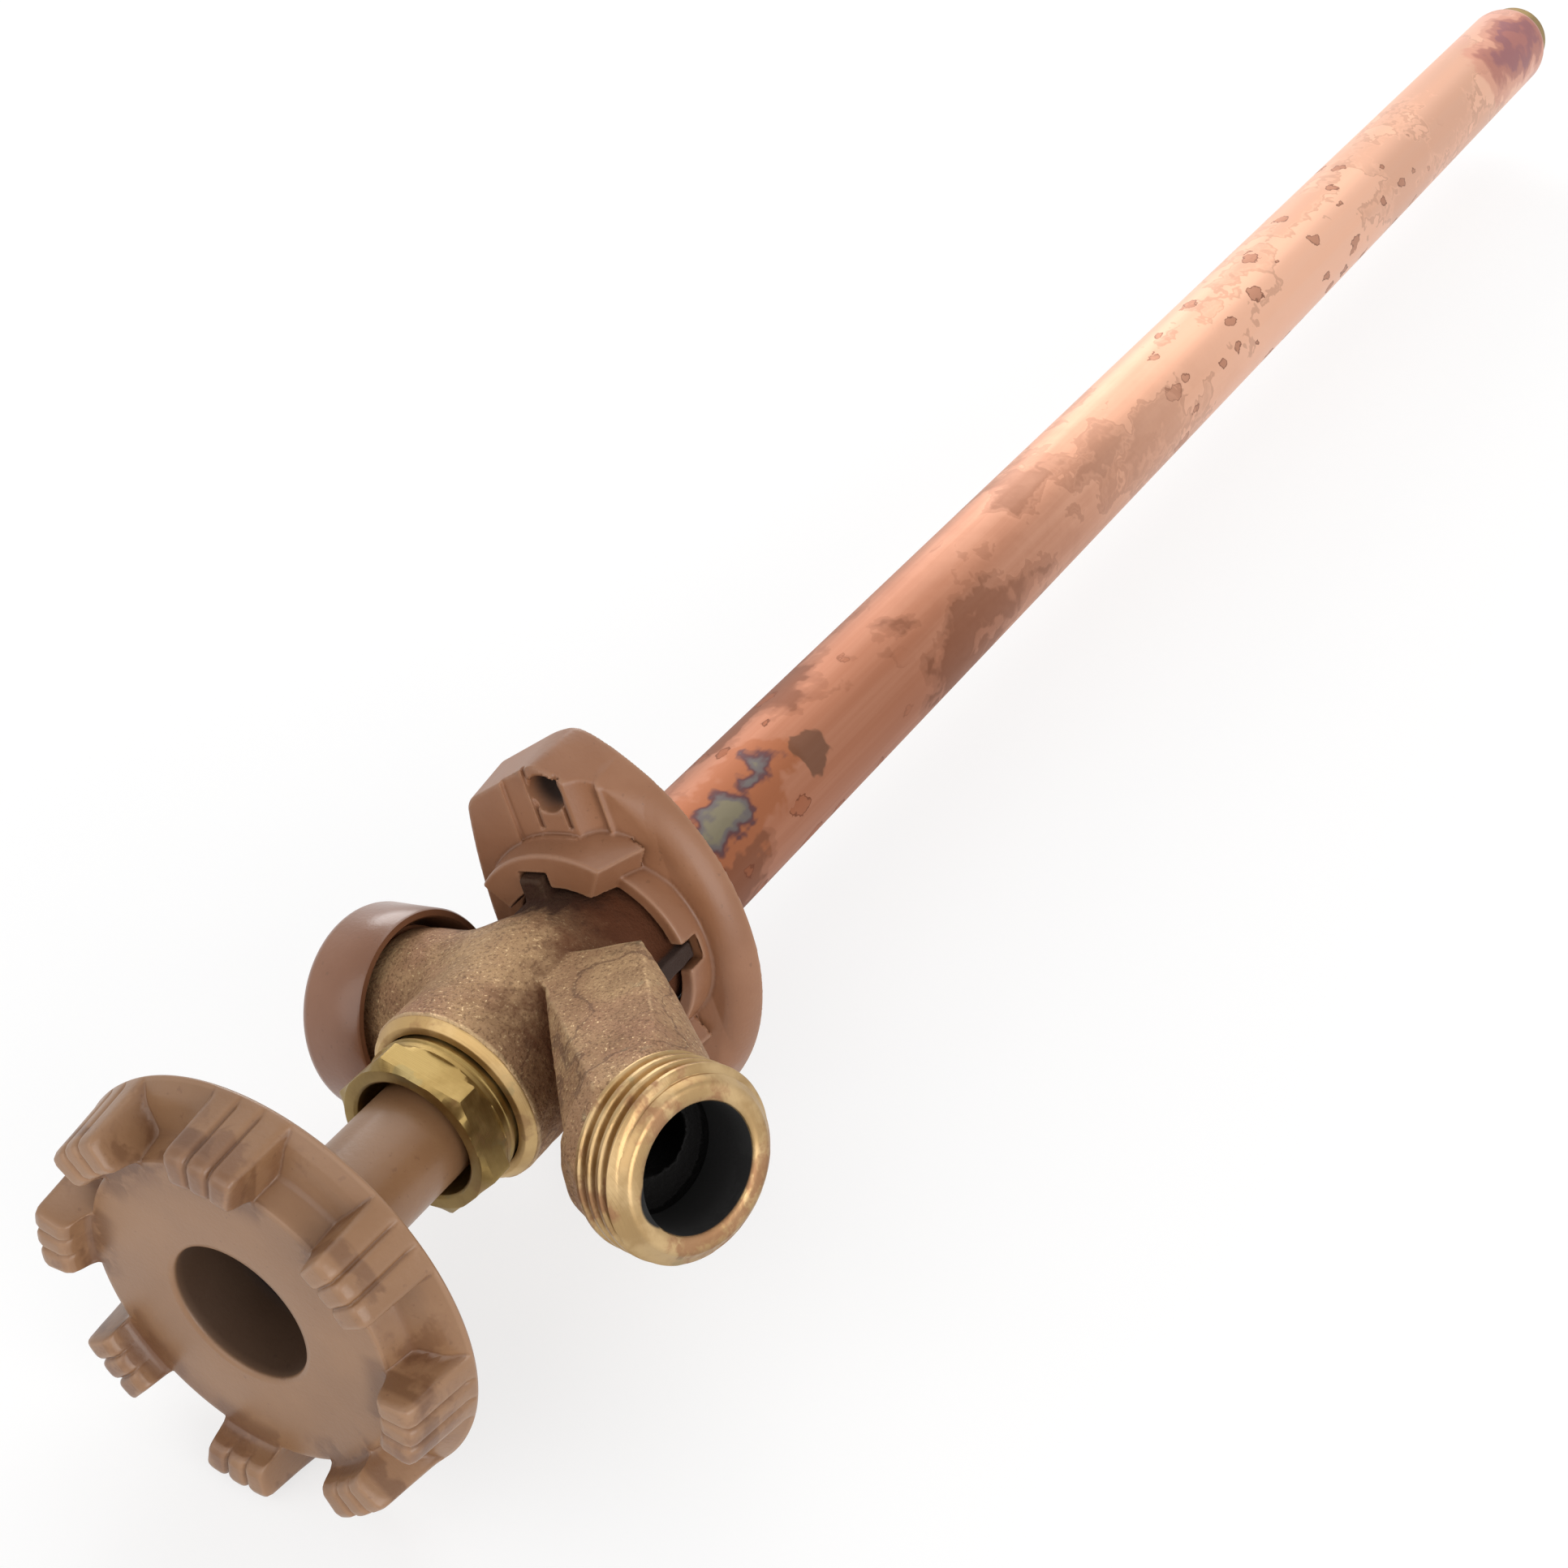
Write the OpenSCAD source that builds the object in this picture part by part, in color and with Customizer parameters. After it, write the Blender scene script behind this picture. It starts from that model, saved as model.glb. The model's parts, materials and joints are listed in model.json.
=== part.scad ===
// Frost free sillcock with an angled hose nozzle and a vacuum breaker.
// The tube runs along +Y into the wall, +Z is up, and the origin is on the
// tube axis where the back of the wall flange meets the wall.

/* [Casing tube] */
// Outside diameter of the copper casing tube
tube_d = 22.22; // [20:0.01:25]
// Wall thickness of the casing tube
tube_wall = 0.9; // [0.6:0.05:1.5]
// Length of the casing tube behind the wall face
tube_reach = 450; // [150:1:600]
// Depth of the tube's socket in the casting
tube_socket = 15; // [10:0.5:16]
// Length of the turned-in rim at the far end
tube_curl = 3; // [1.5:0.25:4]

/* [Inlet fitting] */
// Bore of the solder socket for the supply pipe
inlet_socket_d = 16; // [12:0.1:16.4]
// Depth of the solder socket
inlet_socket_depth = 12.5; // [8:0.5:16]
// How far the fitting stands out of the tube
inlet_stub = 6; // [3:0.5:12]
// Length of the fitting inside the tube, up to the valve seat
inlet_grip = 26; // [20:0.5:36]
// Bore of the valve seat
seat_bore_d = 9.2; // [8:0.1:10.5]

/* [Casting] */
// Diameter of the barrel
barrel_d = 28.7; // [27.5:0.1:33]
// Distance of the machined front face from the wall
face_out = 48.1; // [47:0.1:56]
// Diameter of the neck that passes through the flange
neck_d = 26.4; // [25.6:0.1:27.4]
// Distance from the wall at which the barrel tapers to the neck
taper_out = 22; // [19:0.1:25]
// Diameter of the vacuum breaker boss
boss_d = 25; // [23.5:0.1:26.5]
// Distance of the vacuum breaker axis from the wall
boss_out = 27.7; // [26:0.1:29]
// Height of the boss above the tube axis
boss_rise = 23; // [22.5:0.1:27]
// Width of the nozzle arm
arm_w = 22; // [20:0.5:26]

/* [Hose nozzle] */
// Outside diameter of the hose thread
hose_d = 26.9; // [25:0.05:28]
// Bore of the nozzle
nozzle_bore_d = 17.8; // [14:0.1:19]
// Length of the threaded end
nozzle_len = 8.4; // [7:0.1:12]
// Forward lean of the nozzle from straight down
nozzle_lean = 16.2; // [8:0.1:24]
// Distance of the nozzle mouth from the wall
mouth_out = 54.7; // [50:0.1:60]
// Distance of the nozzle mouth below the tube axis
mouth_drop = 48.8; // [44:0.1:58]

/* [Packing nut] */
// Width of the hexagon across its flats
nut_flats = 23.4; // [22.6:0.1:27]
// Length of the hexagon
nut_hex_len = 3.6; // [3:0.1:6]
// Length of the nut in front of the casting
nut_out = 8.7; // [7.5:0.1:11]
// Diameter of the round collar behind the hexagon
nut_collar_d = 23; // [22.4:0.1:24.4]
// Diameter of the nut's outside thread
nut_thread_d = 20.6; // [19.6:0.1:21.6]
// Length of the nut's outside thread
nut_thread_len = 7; // [6.5:0.1:9]
// Clearance round the handle hub in the nut's mouth
mouth_gap = 1.7; // [0.6:0.05:1.9]

/* [Stem and rod] */
// Diameter of the stem in the packing
stem_d = 10; // [8.6:0.1:10.8]
// Outside diameter of the stem's thread
stem_thread_d = 12.4; // [11.6:0.1:14]
// Advance of the stem for one turn of the handle
stem_lead = 3; // [2:0.1:3.6]
// Turns of the handle from shut to open
open_turns = 1.5; // [1:0.25:1.5]
// Diameter of the operating rod
rod_d = 7.9; // [6:0.1:8.4]
// Diameter of the cross pin that holds the rod in the stem
pin_d = 2.4; // [1.6:0.1:3]
// Length of each rod guide
guide_len = 14; // [8:0.5:24]

/* [Seat washer] */
// Diameter of the rubber seat washer
washer_d = 14.4; // [13:0.1:15.4]
// Thickness of the rubber seat washer
washer_t = 3.2; // [2.4:0.1:4.5]

/* [Handle] */
// Diameter over the rim
wheel_d = 65; // [58:0.1:72]
// Distance of the handle's front face from the wall
wheel_out = 93.3; // [91:0.1:104]
// Depth from the front face to the back of the rim
wheel_depth = 7.6; // [7:0.1:9]
// How far the grip lugs stand in front of the face
lug_out = 4.3; // [2:0.1:6]
// Number of grip lugs
lug_count = 8; // [5:1:9]
// Number of ridges on each lug
ridge_count = 3; // [3:1:4]
// Diameter of the screw recess in the face
recess_d = 21.5; // [17:0.1:23]
// Depth of the screw recess
recess_depth = 11.8; // [9.5:0.1:13]
// Diameter of the hub sleeve
hub_d = 15.9; // [14.6:0.1:16.4]

/* [Wall flange] */
// Width from tip to tip
flange_w = 68; // [66:0.1:74]
// Reach below the tube axis
flange_drop = 22.1; // [21.5:0.1:26]
// Reach above the tube axis
flange_rise = 20.2; // [19:0.1:24]
// Depth from the wall to the front panel
flange_depth = 10; // [8.5:0.1:12]
// Wall thickness of the moulding
flange_wall = 2.2; // [1.6:0.1:2.6]
// How far the snap cheeks stand in front of the panel
cheek_out = 4.5; // [3:0.1:6]
// How far each screw hole stands in from the flange side
screw_inset = 6.5; // [5.5:0.1:8]
// Diameter of the screw holes
screw_hole_d = 6.3; // [4.5:0.1:6.8]

/* [Vacuum breaker] */
// Outside diameter of the cap at its open rim
cap_d = 31; // [29.8:0.1:34]
// Wall thickness of the cap's skirt
cap_wall = 1.4; // [1:0.1:1.7]
// Height of the cap
cap_h = 12.2; // [10.5:0.1:15]
// Height of the cap's rim above the tube axis
cap_rim_z = 20.2; // [18.5:0.1:21.5]
// Lift of the vent float
float_lift = 2.2; // [1.2:0.1:2.6]

/* [Hidden] */
$fn = 96;
eps = 0.01;
fit_gap = 0.05;
thread_gap = 0.1;
clear_gap = 0.3;
seat_gap = 0.2;

clay = [0.55, 0.42, 0.34];
copper = [0.80, 0.52, 0.38];
bronze = [0.55, 0.42, 0.27];
brass = [0.78, 0.65, 0.36];
rubber = [0.10, 0.10, 0.10];
steel = [0.66, 0.66, 0.67];
nylon = [0.86, 0.84, 0.78];
fibre = [0.48, 0.20, 0.14];

// Places along the tube axis
tail_gap = 1;
counterbore = 2;
y_face = -face_out;
y_collar = y_face + counterbore;
y_gland = y_collar + nut_thread_len;
travel = stem_lead * open_turns;
thread_hold = 3;
y_chamber = y_gland + travel + clear_gap + thread_hold;
y_tail = -tail_gap;
y_socket = y_tail - tube_socket;
y_seat = tube_reach - inlet_grip;

// Casting
barrel_r = barrel_d / 2;
neck_r = neck_d / 2;
taper_len = 3.5;
face_bevel = 1.3;
chamber_d = 18.4;
port_d = 7;
passage_d = 9.6;
passage_out = 17;
boss_bore_d = 19;
boss_floor = 10.8;
arm_root = 1.5;
mouth_bevel = 1.8;
mouth_lead = 1.6;
shoulder = 1;
shoulder_step = 0.9;
bore_past = 3;
rib_root = 3;
arm_back = 20.9;
arm_drop = 19.9;
arm_front = 34.2;
arm_brow = 11.8;
lug_z = 3.1;
lug_w = 4.4;
lug_reach = 16.6;
lug_back = 10.7;
lug_len = 5;
rib_w = 3;
rib_low = 15.8;
rib_back = 7;

// Casing tube and inlet
tube_r = tube_d / 2;
tube_in_r = tube_r - tube_wall;
sized_step = 0.5;
step_past = 1;
socket_r = tube_r - sized_step;
curl_in = 0.9;
stub_r = tube_in_r - curl_in - fit_gap;

// Packing nut
nut_hex_r = nut_flats / 2 / cos(30);
nut_front = y_face - nut_out;
hub_r = hub_d / 2;
mouth_r = hub_r + mouth_gap;
web_front = y_collar - 3.4;
web_t = 2.4;
gland_r = 8;
gland_washer_t = 1.2;

// Stem
stem_r = stem_d / 2;
stem_thread_r = stem_thread_d / 2;
rod_r = rod_d / 2;
y_stem_thread = y_gland + travel + clear_gap;
stem_thread_len = 8;
y_stem_tail = y_stem_thread + stem_thread_len;
rod_grip = 8;
stem_tail_r = rod_r + 1.6;
stem_tail_len = 12;
y_stem_end = y_stem_tail + stem_tail_len;
screw_d = 3.9;
screw_reach = 12;
screw_past = 1;

// Seat washer and holder
y_washer_back = y_seat - seat_gap;
y_washer = y_washer_back - washer_t;
cup_depth = 2.2;
web_holder = 3.2;
knob_t = 2.2;
lip_t = 2.5;
knob_r = rod_r + 1.05;
y_knob_back = y_washer - web_holder - fit_gap;
y_knob = y_knob_back - knob_t;
y_holder = y_knob - fit_gap - lip_t;
holder_r = washer_d / 2 + 1.4;
washer_screw_d = 3.2;
washer_head_d = 6.4;
washer_head_t = 1.6;

// Handle
wheel_r = wheel_d / 2;
y_wheel = -wheel_out;
y_wheel_back = y_wheel + wheel_depth;
face_t = 3;
scoop_w = 8;
scoop_deep = 4.4;
scoop_draft = 1.2;
rim_band = 2.8;
rim_fall = 0.8;
rim_edge = 0.9;
dish_wall = 1.9;
lug_draft = 1.6;
lug_soft = 1;
rim_wall = 2.6;
recess_r = recess_d / 2;
y_recess = y_wheel + recess_depth;
bell_wall = 2.4;
y_hub_end = y_face - 3.4;
spline_r = stem_r - 0.5;
spline_len = 9;
lug_depth = 7.2;
ridge_pitch = 6.6;
ridge_t = 3;
head_t = 2.8;
head_d = 9;
lock_washer_t = 0.8;

// Wall flange
flange_low_r = 39.7;
flange_top_r = 100;
flange_top_w = 51.4;
slope_top = 6;
rim_t = 3.8;
pocket_deep = 1;
pocket_w = 16.4;
groove_w = 0.7;
groove_z = 2.75;
collar_r = neck_r + 1.2;
collar_back_r = neck_r + clear_gap;
cheek_r = 20.5;
cheek_low = -34;
cheek_high = 45;
screw_span = flange_w - 2 * screw_inset;
post_r = screw_hole_d / 2 + 2.3;
slot_gap = 0.7;

// Vacuum breaker
boss_r = boss_d / 2;
float_r = boss_bore_d / 2 - 1.6;
float_t = 2;
seal_t = 1;
float_floor = boss_floor + fit_gap;
bonnet_floor = float_floor + float_t + seal_t + float_lift + fit_gap;
guide_r = 2;
gasket_t = 0.8;
bonnet_flange_r = 11.2;
bonnet_flange_t = 2.6;
bonnet_top = boss_rise + gasket_t + bonnet_flange_t;
cap_top_t = 1.8;
cap_flare = 0.6;
cap_top = cap_rim_z + cap_h;

// Turned shapes about the tube axis: each profile point is [radius, y]
module lathe_y(profile) {
    rotate([-90, 0, 0]) rotate_extrude() polygon(profile);
}

module ring_y(r_in, r_out, y0, y1) {
    lathe_y([[r_in, y0], [r_out, y0], [r_out, y1], [r_in, y1]]);
}

// Turned shapes about the vacuum breaker's vertical axis: points are [radius, z]
module lathe_boss(profile) {
    translate([0, -boss_out, 0]) rotate_extrude() polygon(profile);
}

module ring_boss(r_in, r_out, z0, z1) {
    lathe_boss([[r_in, z0], [r_out, z0], [r_out, z1], [r_in, z1]]);
}

// A plate between two places along Y, drawn in front view as [x, z]
module slab_y(y0, y1) {
    translate([0, y1, 0]) rotate([90, 0, 0]) linear_extrude(y1 - y0) children();
}

// A plate across X, drawn in side view as [y, z]
module slab_x(width) {
    rotate([90, 0, 90]) linear_extrude(width, center = true) children();
}

// Local frame of the nozzle: z is 0 at the mouth and grows back into the arm
module at_nozzle() {
    translate([0, -mouth_out, -mouth_drop]) rotate([-nozzle_lean, 0, 0]) children();
}

module mirror_pair() {
    children();
    mirror([1, 0, 0]) children();
}

// Sand-cast bronze body with its machined faces

module casting_outside() {
    lathe_y([
        [0, y_face], [barrel_r - face_bevel, y_face], [barrel_r, y_face + face_bevel],
        [barrel_r, -taper_out], [neck_r, -taper_out + taper_len], [neck_r, y_tail], [0, y_tail]
    ]);
    translate([0, -boss_out, 0]) cylinder(h = boss_rise, r = boss_r);
    hull() {
        slab_x(arm_w) polygon([
            [-arm_back, -arm_root], [-arm_back, -arm_drop], [-arm_front, -arm_brow], [-boss_out, -arm_root]
        ]);
        at_nozzle() translate([0, 0, nozzle_len + shoulder / 2])
            cylinder(h = shoulder, r = hose_d / 2 - mouth_lead, $fn = 32);
    }
    at_nozzle() rotate_extrude() polygon([
        [0, 0], [hose_d / 2 - mouth_bevel, 0], [hose_d / 2, mouth_lead], [hose_d / 2, nozzle_len],
        [hose_d / 2 - shoulder_step, nozzle_len + shoulder], [0, nozzle_len + shoulder]
    ]);
    translate([-lug_reach, -lug_back - lug_len, lug_z - lug_w / 2]) cube([2 * lug_reach, lug_len, lug_w]);
    translate([-rib_w / 2, -taper_out - rib_root, -rib_low])
        cube([rib_w, taper_out + rib_root - rib_back, rib_low]);
}

module casting_passages() {
    lathe_y([
        [0, y_face - 1], [nut_collar_d / 2 + clear_gap, y_face - 1],
        [nut_collar_d / 2 + clear_gap, y_collar], [nut_thread_d / 2 + thread_gap, y_collar],
        [nut_thread_d / 2 + thread_gap, y_gland], [stem_thread_r + thread_gap, y_gland],
        [stem_thread_r + thread_gap, y_chamber], [chamber_d / 2, y_chamber], [chamber_d / 2, y_socket],
        [socket_r, y_socket], [socket_r, 1], [0, 1]
    ]);
    translate([0, -boss_out, 0]) cylinder(h = boss_floor, d = port_d);
    ring_boss(0, boss_bore_d / 2, boss_floor, boss_rise + 1);
    at_nozzle() translate([0, 0, -1]) cylinder(h = nozzle_len + bore_past, d = nozzle_bore_d);
    passage_drop = mouth_drop - nozzle_len * cos(nozzle_lean);
    passage_run = mouth_out - nozzle_len * sin(nozzle_lean) - passage_out;
    translate([0, -passage_out, 0]) rotate([180 - atan2(passage_run, passage_drop), 0, 0])
        cylinder(h = norm([passage_drop, passage_run]), d = passage_d);
}

module body_casting() {
    color(bronze) difference() {
        casting_outside();
        casting_passages();
    }
}

// Copper casing tube, sized down in its socket and turned in at the far end
module casing_tube() {
    bend = tube_reach - tube_curl;
    arc = [for (a = [0 : 15 : 75]) [sin(a), 1 - cos(a)] / sin(75)];
    outer = [for (p = arc) [tube_r - curl_in * p[1], bend + tube_curl * p[0]]];
    inner = [for (i = [len(arc) - 1 : -1 : 0]) outer[i] - [tube_wall, 0]];
    color(copper) lathe_y(concat(
        [[socket_r - tube_wall, y_socket], [socket_r - fit_gap, y_socket], [socket_r - fit_gap, step_past],
            [tube_r, step_past]],
        outer, inner,
        [[tube_in_r, step_past + 1], [socket_r - tube_wall, step_past]]
    ));
}

// Brass fitting at the far end: valve seat inside the tube, solder socket outside
module inlet_fitting() {
    y_end = tube_reach + inlet_stub;
    y_floor = y_end - inlet_socket_depth;
    bend = tube_reach - tube_curl - 1;
    color(brass) lathe_y([
        [seat_bore_d / 2, y_seat], [seat_bore_d / 2 + 1.2, y_seat],
        [seat_bore_d / 2 + 2, y_seat + 1.5], [tube_in_r - fit_gap, y_seat + 4],
        [tube_in_r - fit_gap, bend], [stub_r - fit_gap, bend + 1], [stub_r - fit_gap, y_end],
        [inlet_socket_d / 2, y_end], [inlet_socket_d / 2, y_floor], [seat_bore_d / 2, y_floor]
    ]);
}

// Moulded wall flange with side screw pockets and snap cheeks

module flange_outline(inset) {
    intersection() {
        translate([0, flange_low_r - flange_drop]) circle(flange_low_r - inset);
        translate([0, flange_rise - flange_top_r]) circle(flange_top_r - inset);
        polygon([
            [-flange_w / 2 + inset, -flange_drop - 5], [flange_w / 2 - inset, -flange_drop - 5],
            [flange_w / 2 - inset, 0], [flange_top_w / 2 - inset, flange_rise],
            [-flange_top_w / 2 + inset, flange_rise], [-flange_w / 2 + inset, 0]
        ]);
    }
}

// Lens-shaped block whose lower front slopes back towards the wall
module flange_block(inset, y_front, y_low, y_back) {
    difference() {
        slab_y(y_front, y_back) flange_outline(inset);
        slab_x(2 * flange_w) polygon([
            [y_front - 1, -slope_top], [y_front, -slope_top],
            [y_low, -flange_drop], [y_low, -flange_drop - 1], [y_front - 1, -flange_drop - 1]
        ]);
    }
}

module flange_cheek() {
    slab_y(-flange_depth - cheek_out, -flange_depth + pocket_deep + eps) difference() {
        intersection() {
            circle(cheek_r);
            polygon([
                [0, 0], 2 * cheek_r * [cos(cheek_low), sin(cheek_low)],
                2 * cheek_r * [1, 0], 2 * cheek_r * [cos(cheek_high), sin(cheek_high)]
            ]);
        }
        circle(collar_r - 1);
        translate([0, lug_z - lug_w / 2 - clear_gap])
            square([lug_reach + clear_gap, lug_w + 2 * clear_gap]);
    }
}

module flange_pocket() {
    y_land = -flange_depth + pocket_deep;
    difference() {
        translate([cheek_r, -2 * flange_depth, -pocket_w / 2])
            cube([flange_w / 2, 2 * flange_depth + y_land, pocket_w]);
        ring_y(0, cheek_r, -2 * flange_depth - 1, 0);
    }
    for (side = [-1, 1])
        translate([cheek_r + 1, -2 * flange_depth, side * groove_z - groove_w / 2])
            cube([flange_w / 2 - cheek_r - 3, 2 * flange_depth + y_land + 0.5, groove_w]);
}

module flange_cavity() {
    difference() {
        flange_block(flange_wall, -flange_depth + pocket_deep + flange_wall, -rim_t + flange_wall, 1);
        ring_y(0, collar_r + flange_wall, -flange_depth - 1, 2);
        mirror_pair() translate([screw_span / 2, 2, 0]) rotate([90, 0, 0])
            cylinder(h = flange_depth + 3, r = post_r);
    }
}

module wall_flange() {
    color(clay) difference() {
        union() {
            difference() {
                flange_block(0, -flange_depth, -rim_t, 0);
                flange_cavity();
                mirror_pair() flange_pocket();
            }
            mirror_pair() flange_cheek();
            ring_y(collar_back_r - 1, collar_r + flange_wall, -flange_depth, 0);
        }
        lathe_y([
            [0, -flange_depth - cheek_out - 1], [collar_r, -flange_depth - cheek_out - 1],
            [collar_r, -flange_depth / 2], [collar_back_r, -flange_depth / 2], [collar_back_r, 1], [0, 1]
        ]);
        mirror_pair() translate([screw_span / 2, 1, 0]) rotate([90, 0, 0])
            cylinder(h = flange_depth + 2, d = screw_hole_d);
        translate([-rib_w / 2 - slot_gap, -flange_depth - 1, -rib_low - slot_gap])
            cube([rib_w + 2 * slot_gap, flange_depth + 1 - rib_back + slot_gap, rib_low]);
    }
}

// Packing nut: hexagon, round collar and hollow threaded end
module packing_nut() {
    bevel = 1.2;
    y_hex = nut_front + nut_hex_len;
    color(brass) difference() {
        union() {
            intersection() {
                slab_y(nut_front, y_hex) circle(nut_hex_r, $fn = 6);
                lathe_y([
                    [0, nut_front], [nut_hex_r - 0.5, nut_front], [nut_hex_r, nut_front + 0.3],
                    [nut_hex_r, y_hex - bevel], [nut_hex_r - 2 * bevel, y_hex], [0, y_hex]
                ]);
            }
            lathe_y([
                [0, y_hex - eps], [nut_collar_d / 2 - 0.3, y_hex - eps], [nut_collar_d / 2, y_hex + 0.6],
                [nut_collar_d / 2, y_collar], [nut_thread_d / 2, y_collar], [nut_thread_d / 2, y_gland],
                [0, y_gland]
            ]);
        }
        lathe_y([
            [0, nut_front - 1], [mouth_r + 0.5, nut_front - 1], [mouth_r, nut_front + 0.5],
            [mouth_r, web_front],
            [stem_r + thread_gap, web_front], [stem_r + thread_gap, web_front + web_t],
            [gland_r + fit_gap, web_front + web_t], [gland_r + fit_gap, y_gland + 1], [0, y_gland + 1]
        ]);
    }
}

module packing_washer() {
    y0 = web_front + web_t;
    color(brass) ring_y(stem_r + thread_gap, gland_r, y0, y0 + gland_washer_t);
}

module stem_packing() {
    color(rubber) ring_y(stem_r + fit_gap, gland_r, web_front + web_t + gland_washer_t, y_gland);
}

// Vacuum breaker: bonnet screwed into the boss, gasket, cap and float

module breaker_bonnet() {
    vent_count = 6;
    vent_d = 2.4;
    color(brass) difference() {
        lathe_boss([
            [guide_r + fit_gap, bonnet_floor], [boss_bore_d / 2 - thread_gap, bonnet_floor],
            [boss_bore_d / 2 - thread_gap, boss_rise + gasket_t], [bonnet_flange_r, boss_rise + gasket_t],
            [bonnet_flange_r, bonnet_top], [guide_r + fit_gap, bonnet_top]
        ]);
        for (i = [0 : vent_count - 1])
            translate([0, -boss_out, 0]) rotate(i * 360 / vent_count)
                translate([guide_r + 2.4, 0, bonnet_floor - 1]) cylinder(h = bonnet_top, d = vent_d);
    }
}

module bonnet_gasket() {
    color(fibre) ring_boss(boss_bore_d / 2 + fit_gap, bonnet_flange_r, boss_rise, boss_rise + gasket_t);
}

module breaker_cap() {
    skirt_r = cap_d / 2;
    skirt_in = skirt_r - cap_wall;
    corner = 1.8;
    snap_r = bonnet_flange_r + thread_gap;
    under = cap_top - cap_top_t;
    color(clay) difference() {
        lathe_boss(concat(
            [[0, cap_rim_z], [skirt_r, cap_rim_z]],
            [for (a = [0 : 15 : 90])
                [skirt_r + cap_flare - corner + corner * cos(a), cap_top - corner + corner * sin(a)]],
            [[0, cap_top]]
        ));
        lathe_boss([
            [0, cap_rim_z - 1], [skirt_in, cap_rim_z - 1], [skirt_in, under],
            [snap_r + cap_wall, under], [snap_r + cap_wall, boss_rise + gasket_t + clear_gap],
            [snap_r, boss_rise + gasket_t + clear_gap], [snap_r, bonnet_top + fit_gap],
            [snap_r - cap_wall, bonnet_top + fit_gap], [snap_r - cap_wall, under], [0, under]
        ]);
    }
}

module vent_float() {
    stem_top = cap_top - cap_top_t - float_lift - 1;
    color(nylon) lathe_boss([
        [0, float_floor], [float_r, float_floor], [float_r, float_floor + float_t],
        [guide_r, float_floor + float_t], [guide_r, stem_top], [0, stem_top]
    ]);
}

module float_seal() {
    z0 = float_floor + float_t;
    color(rubber) ring_boss(guide_r + fit_gap, float_r - 0.4, z0, z0 + seal_t);
}

// Handle wheel: hollow moulded disc with ridged lugs, screw recess and hub sleeve

module wheel_ridge() {
    r_in = wheel_r - lug_depth;
    r_out = wheel_r - lug_draft;
    r_root = wheel_r - scoop_w - dish_wall / 2;
    y_lug = y_wheel - lug_out;
    y_root = y_wheel + scoop_deep + rim_fall;
    linear_extrude(ridge_t, center = true) polygon([
        [r_root, y_wheel + lug_soft], [r_in, y_wheel - lug_soft / 2], [r_in, y_lug + lug_soft],
        [r_in + lug_soft, y_lug], [r_out - lug_soft, y_lug], [r_out, y_lug + lug_soft],
        [r_out + lug_soft / 2, y_root - lug_soft], [r_out, y_root + lug_soft],
        [wheel_r - rim_wall, y_root + lug_soft], [r_root, y_wheel + scoop_deep + lug_soft]
    ]);
}

module wheel_lug() {
    span = (ridge_count - 1) * ridge_pitch;
    r_in = wheel_r - lug_depth + lug_soft;
    r_out = wheel_r - lug_draft - lug_soft;
    r_root = wheel_r - scoop_w - dish_wall / 2;
    y_lug = y_wheel - lug_out + lug_soft;
    core_w = 2 * r_out * sin(span / 2);
    linear_extrude(core_w, center = true) polygon([
        [r_root, y_wheel + lug_soft], [r_in, y_wheel - lug_soft / 2], [r_in, y_lug], [r_out, y_lug],
        [r_out, y_wheel + scoop_deep + rim_fall + lug_soft / 2], [r_root, y_wheel + scoop_deep]
    ]);
    for (i = [0 : ridge_count - 1])
        rotate([0, i * ridge_pitch - span / 2, 0]) wheel_ridge();
}

module handle_wheel() {
    bell_r = recess_r + bell_wall;
    y_under = y_wheel + face_t;
    color(clay) {
        lathe_y([
            [recess_r, y_wheel], [wheel_r - scoop_w, y_wheel],
            [wheel_r - scoop_w + scoop_draft, y_wheel + scoop_deep],
            [wheel_r - rim_band, y_wheel + scoop_deep + rim_fall], [wheel_r, y_wheel_back - rim_edge],
            [wheel_r, y_wheel_back], [wheel_r - rim_wall, y_wheel_back],
            [wheel_r - scoop_w - dish_wall / 2, y_wheel + scoop_deep + dish_wall],
            [wheel_r - scoop_w - dish_wall, y_under],
            [bell_r, y_under], [bell_r, y_recess - 1], [hub_r, y_recess + 4], [hub_r, y_hub_end],
            [stem_r + fit_gap, y_hub_end], [stem_r + fit_gap, y_recess + spline_len],
            [spline_r + fit_gap, y_recess + spline_len], [spline_r + fit_gap, y_recess], [recess_r, y_recess]
        ]);
        for (i = [0 : lug_count - 1])
            rotate([0, (i + 0.5) * 360 / lug_count, 0]) wheel_lug();
    }
}

module handle_screw() {
    y_head = y_recess - lock_washer_t - head_t;
    slot_w = 1.3;
    color(steel) difference() {
        lathe_y([
            [0, y_head], [head_d / 2 - 1, y_head], [head_d / 2, y_head + 1.2], [head_d / 2, y_head + head_t],
            [screw_d / 2, y_head + head_t], [screw_d / 2, y_recess + screw_reach], [0, y_recess + screw_reach]
        ]);
        for (a = [0, 90])
            rotate([0, a, 0]) translate([-2.2, y_head - 1, -slot_w / 2]) cube([4.4, 2.4, slot_w]);
    }
}

module screw_washer() {
    color(steel) ring_y(screw_d / 2 + fit_gap, head_d / 2 + 0.6, y_recess - lock_washer_t, y_recess);
}

// Stem, operating rod and what they carry

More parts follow.
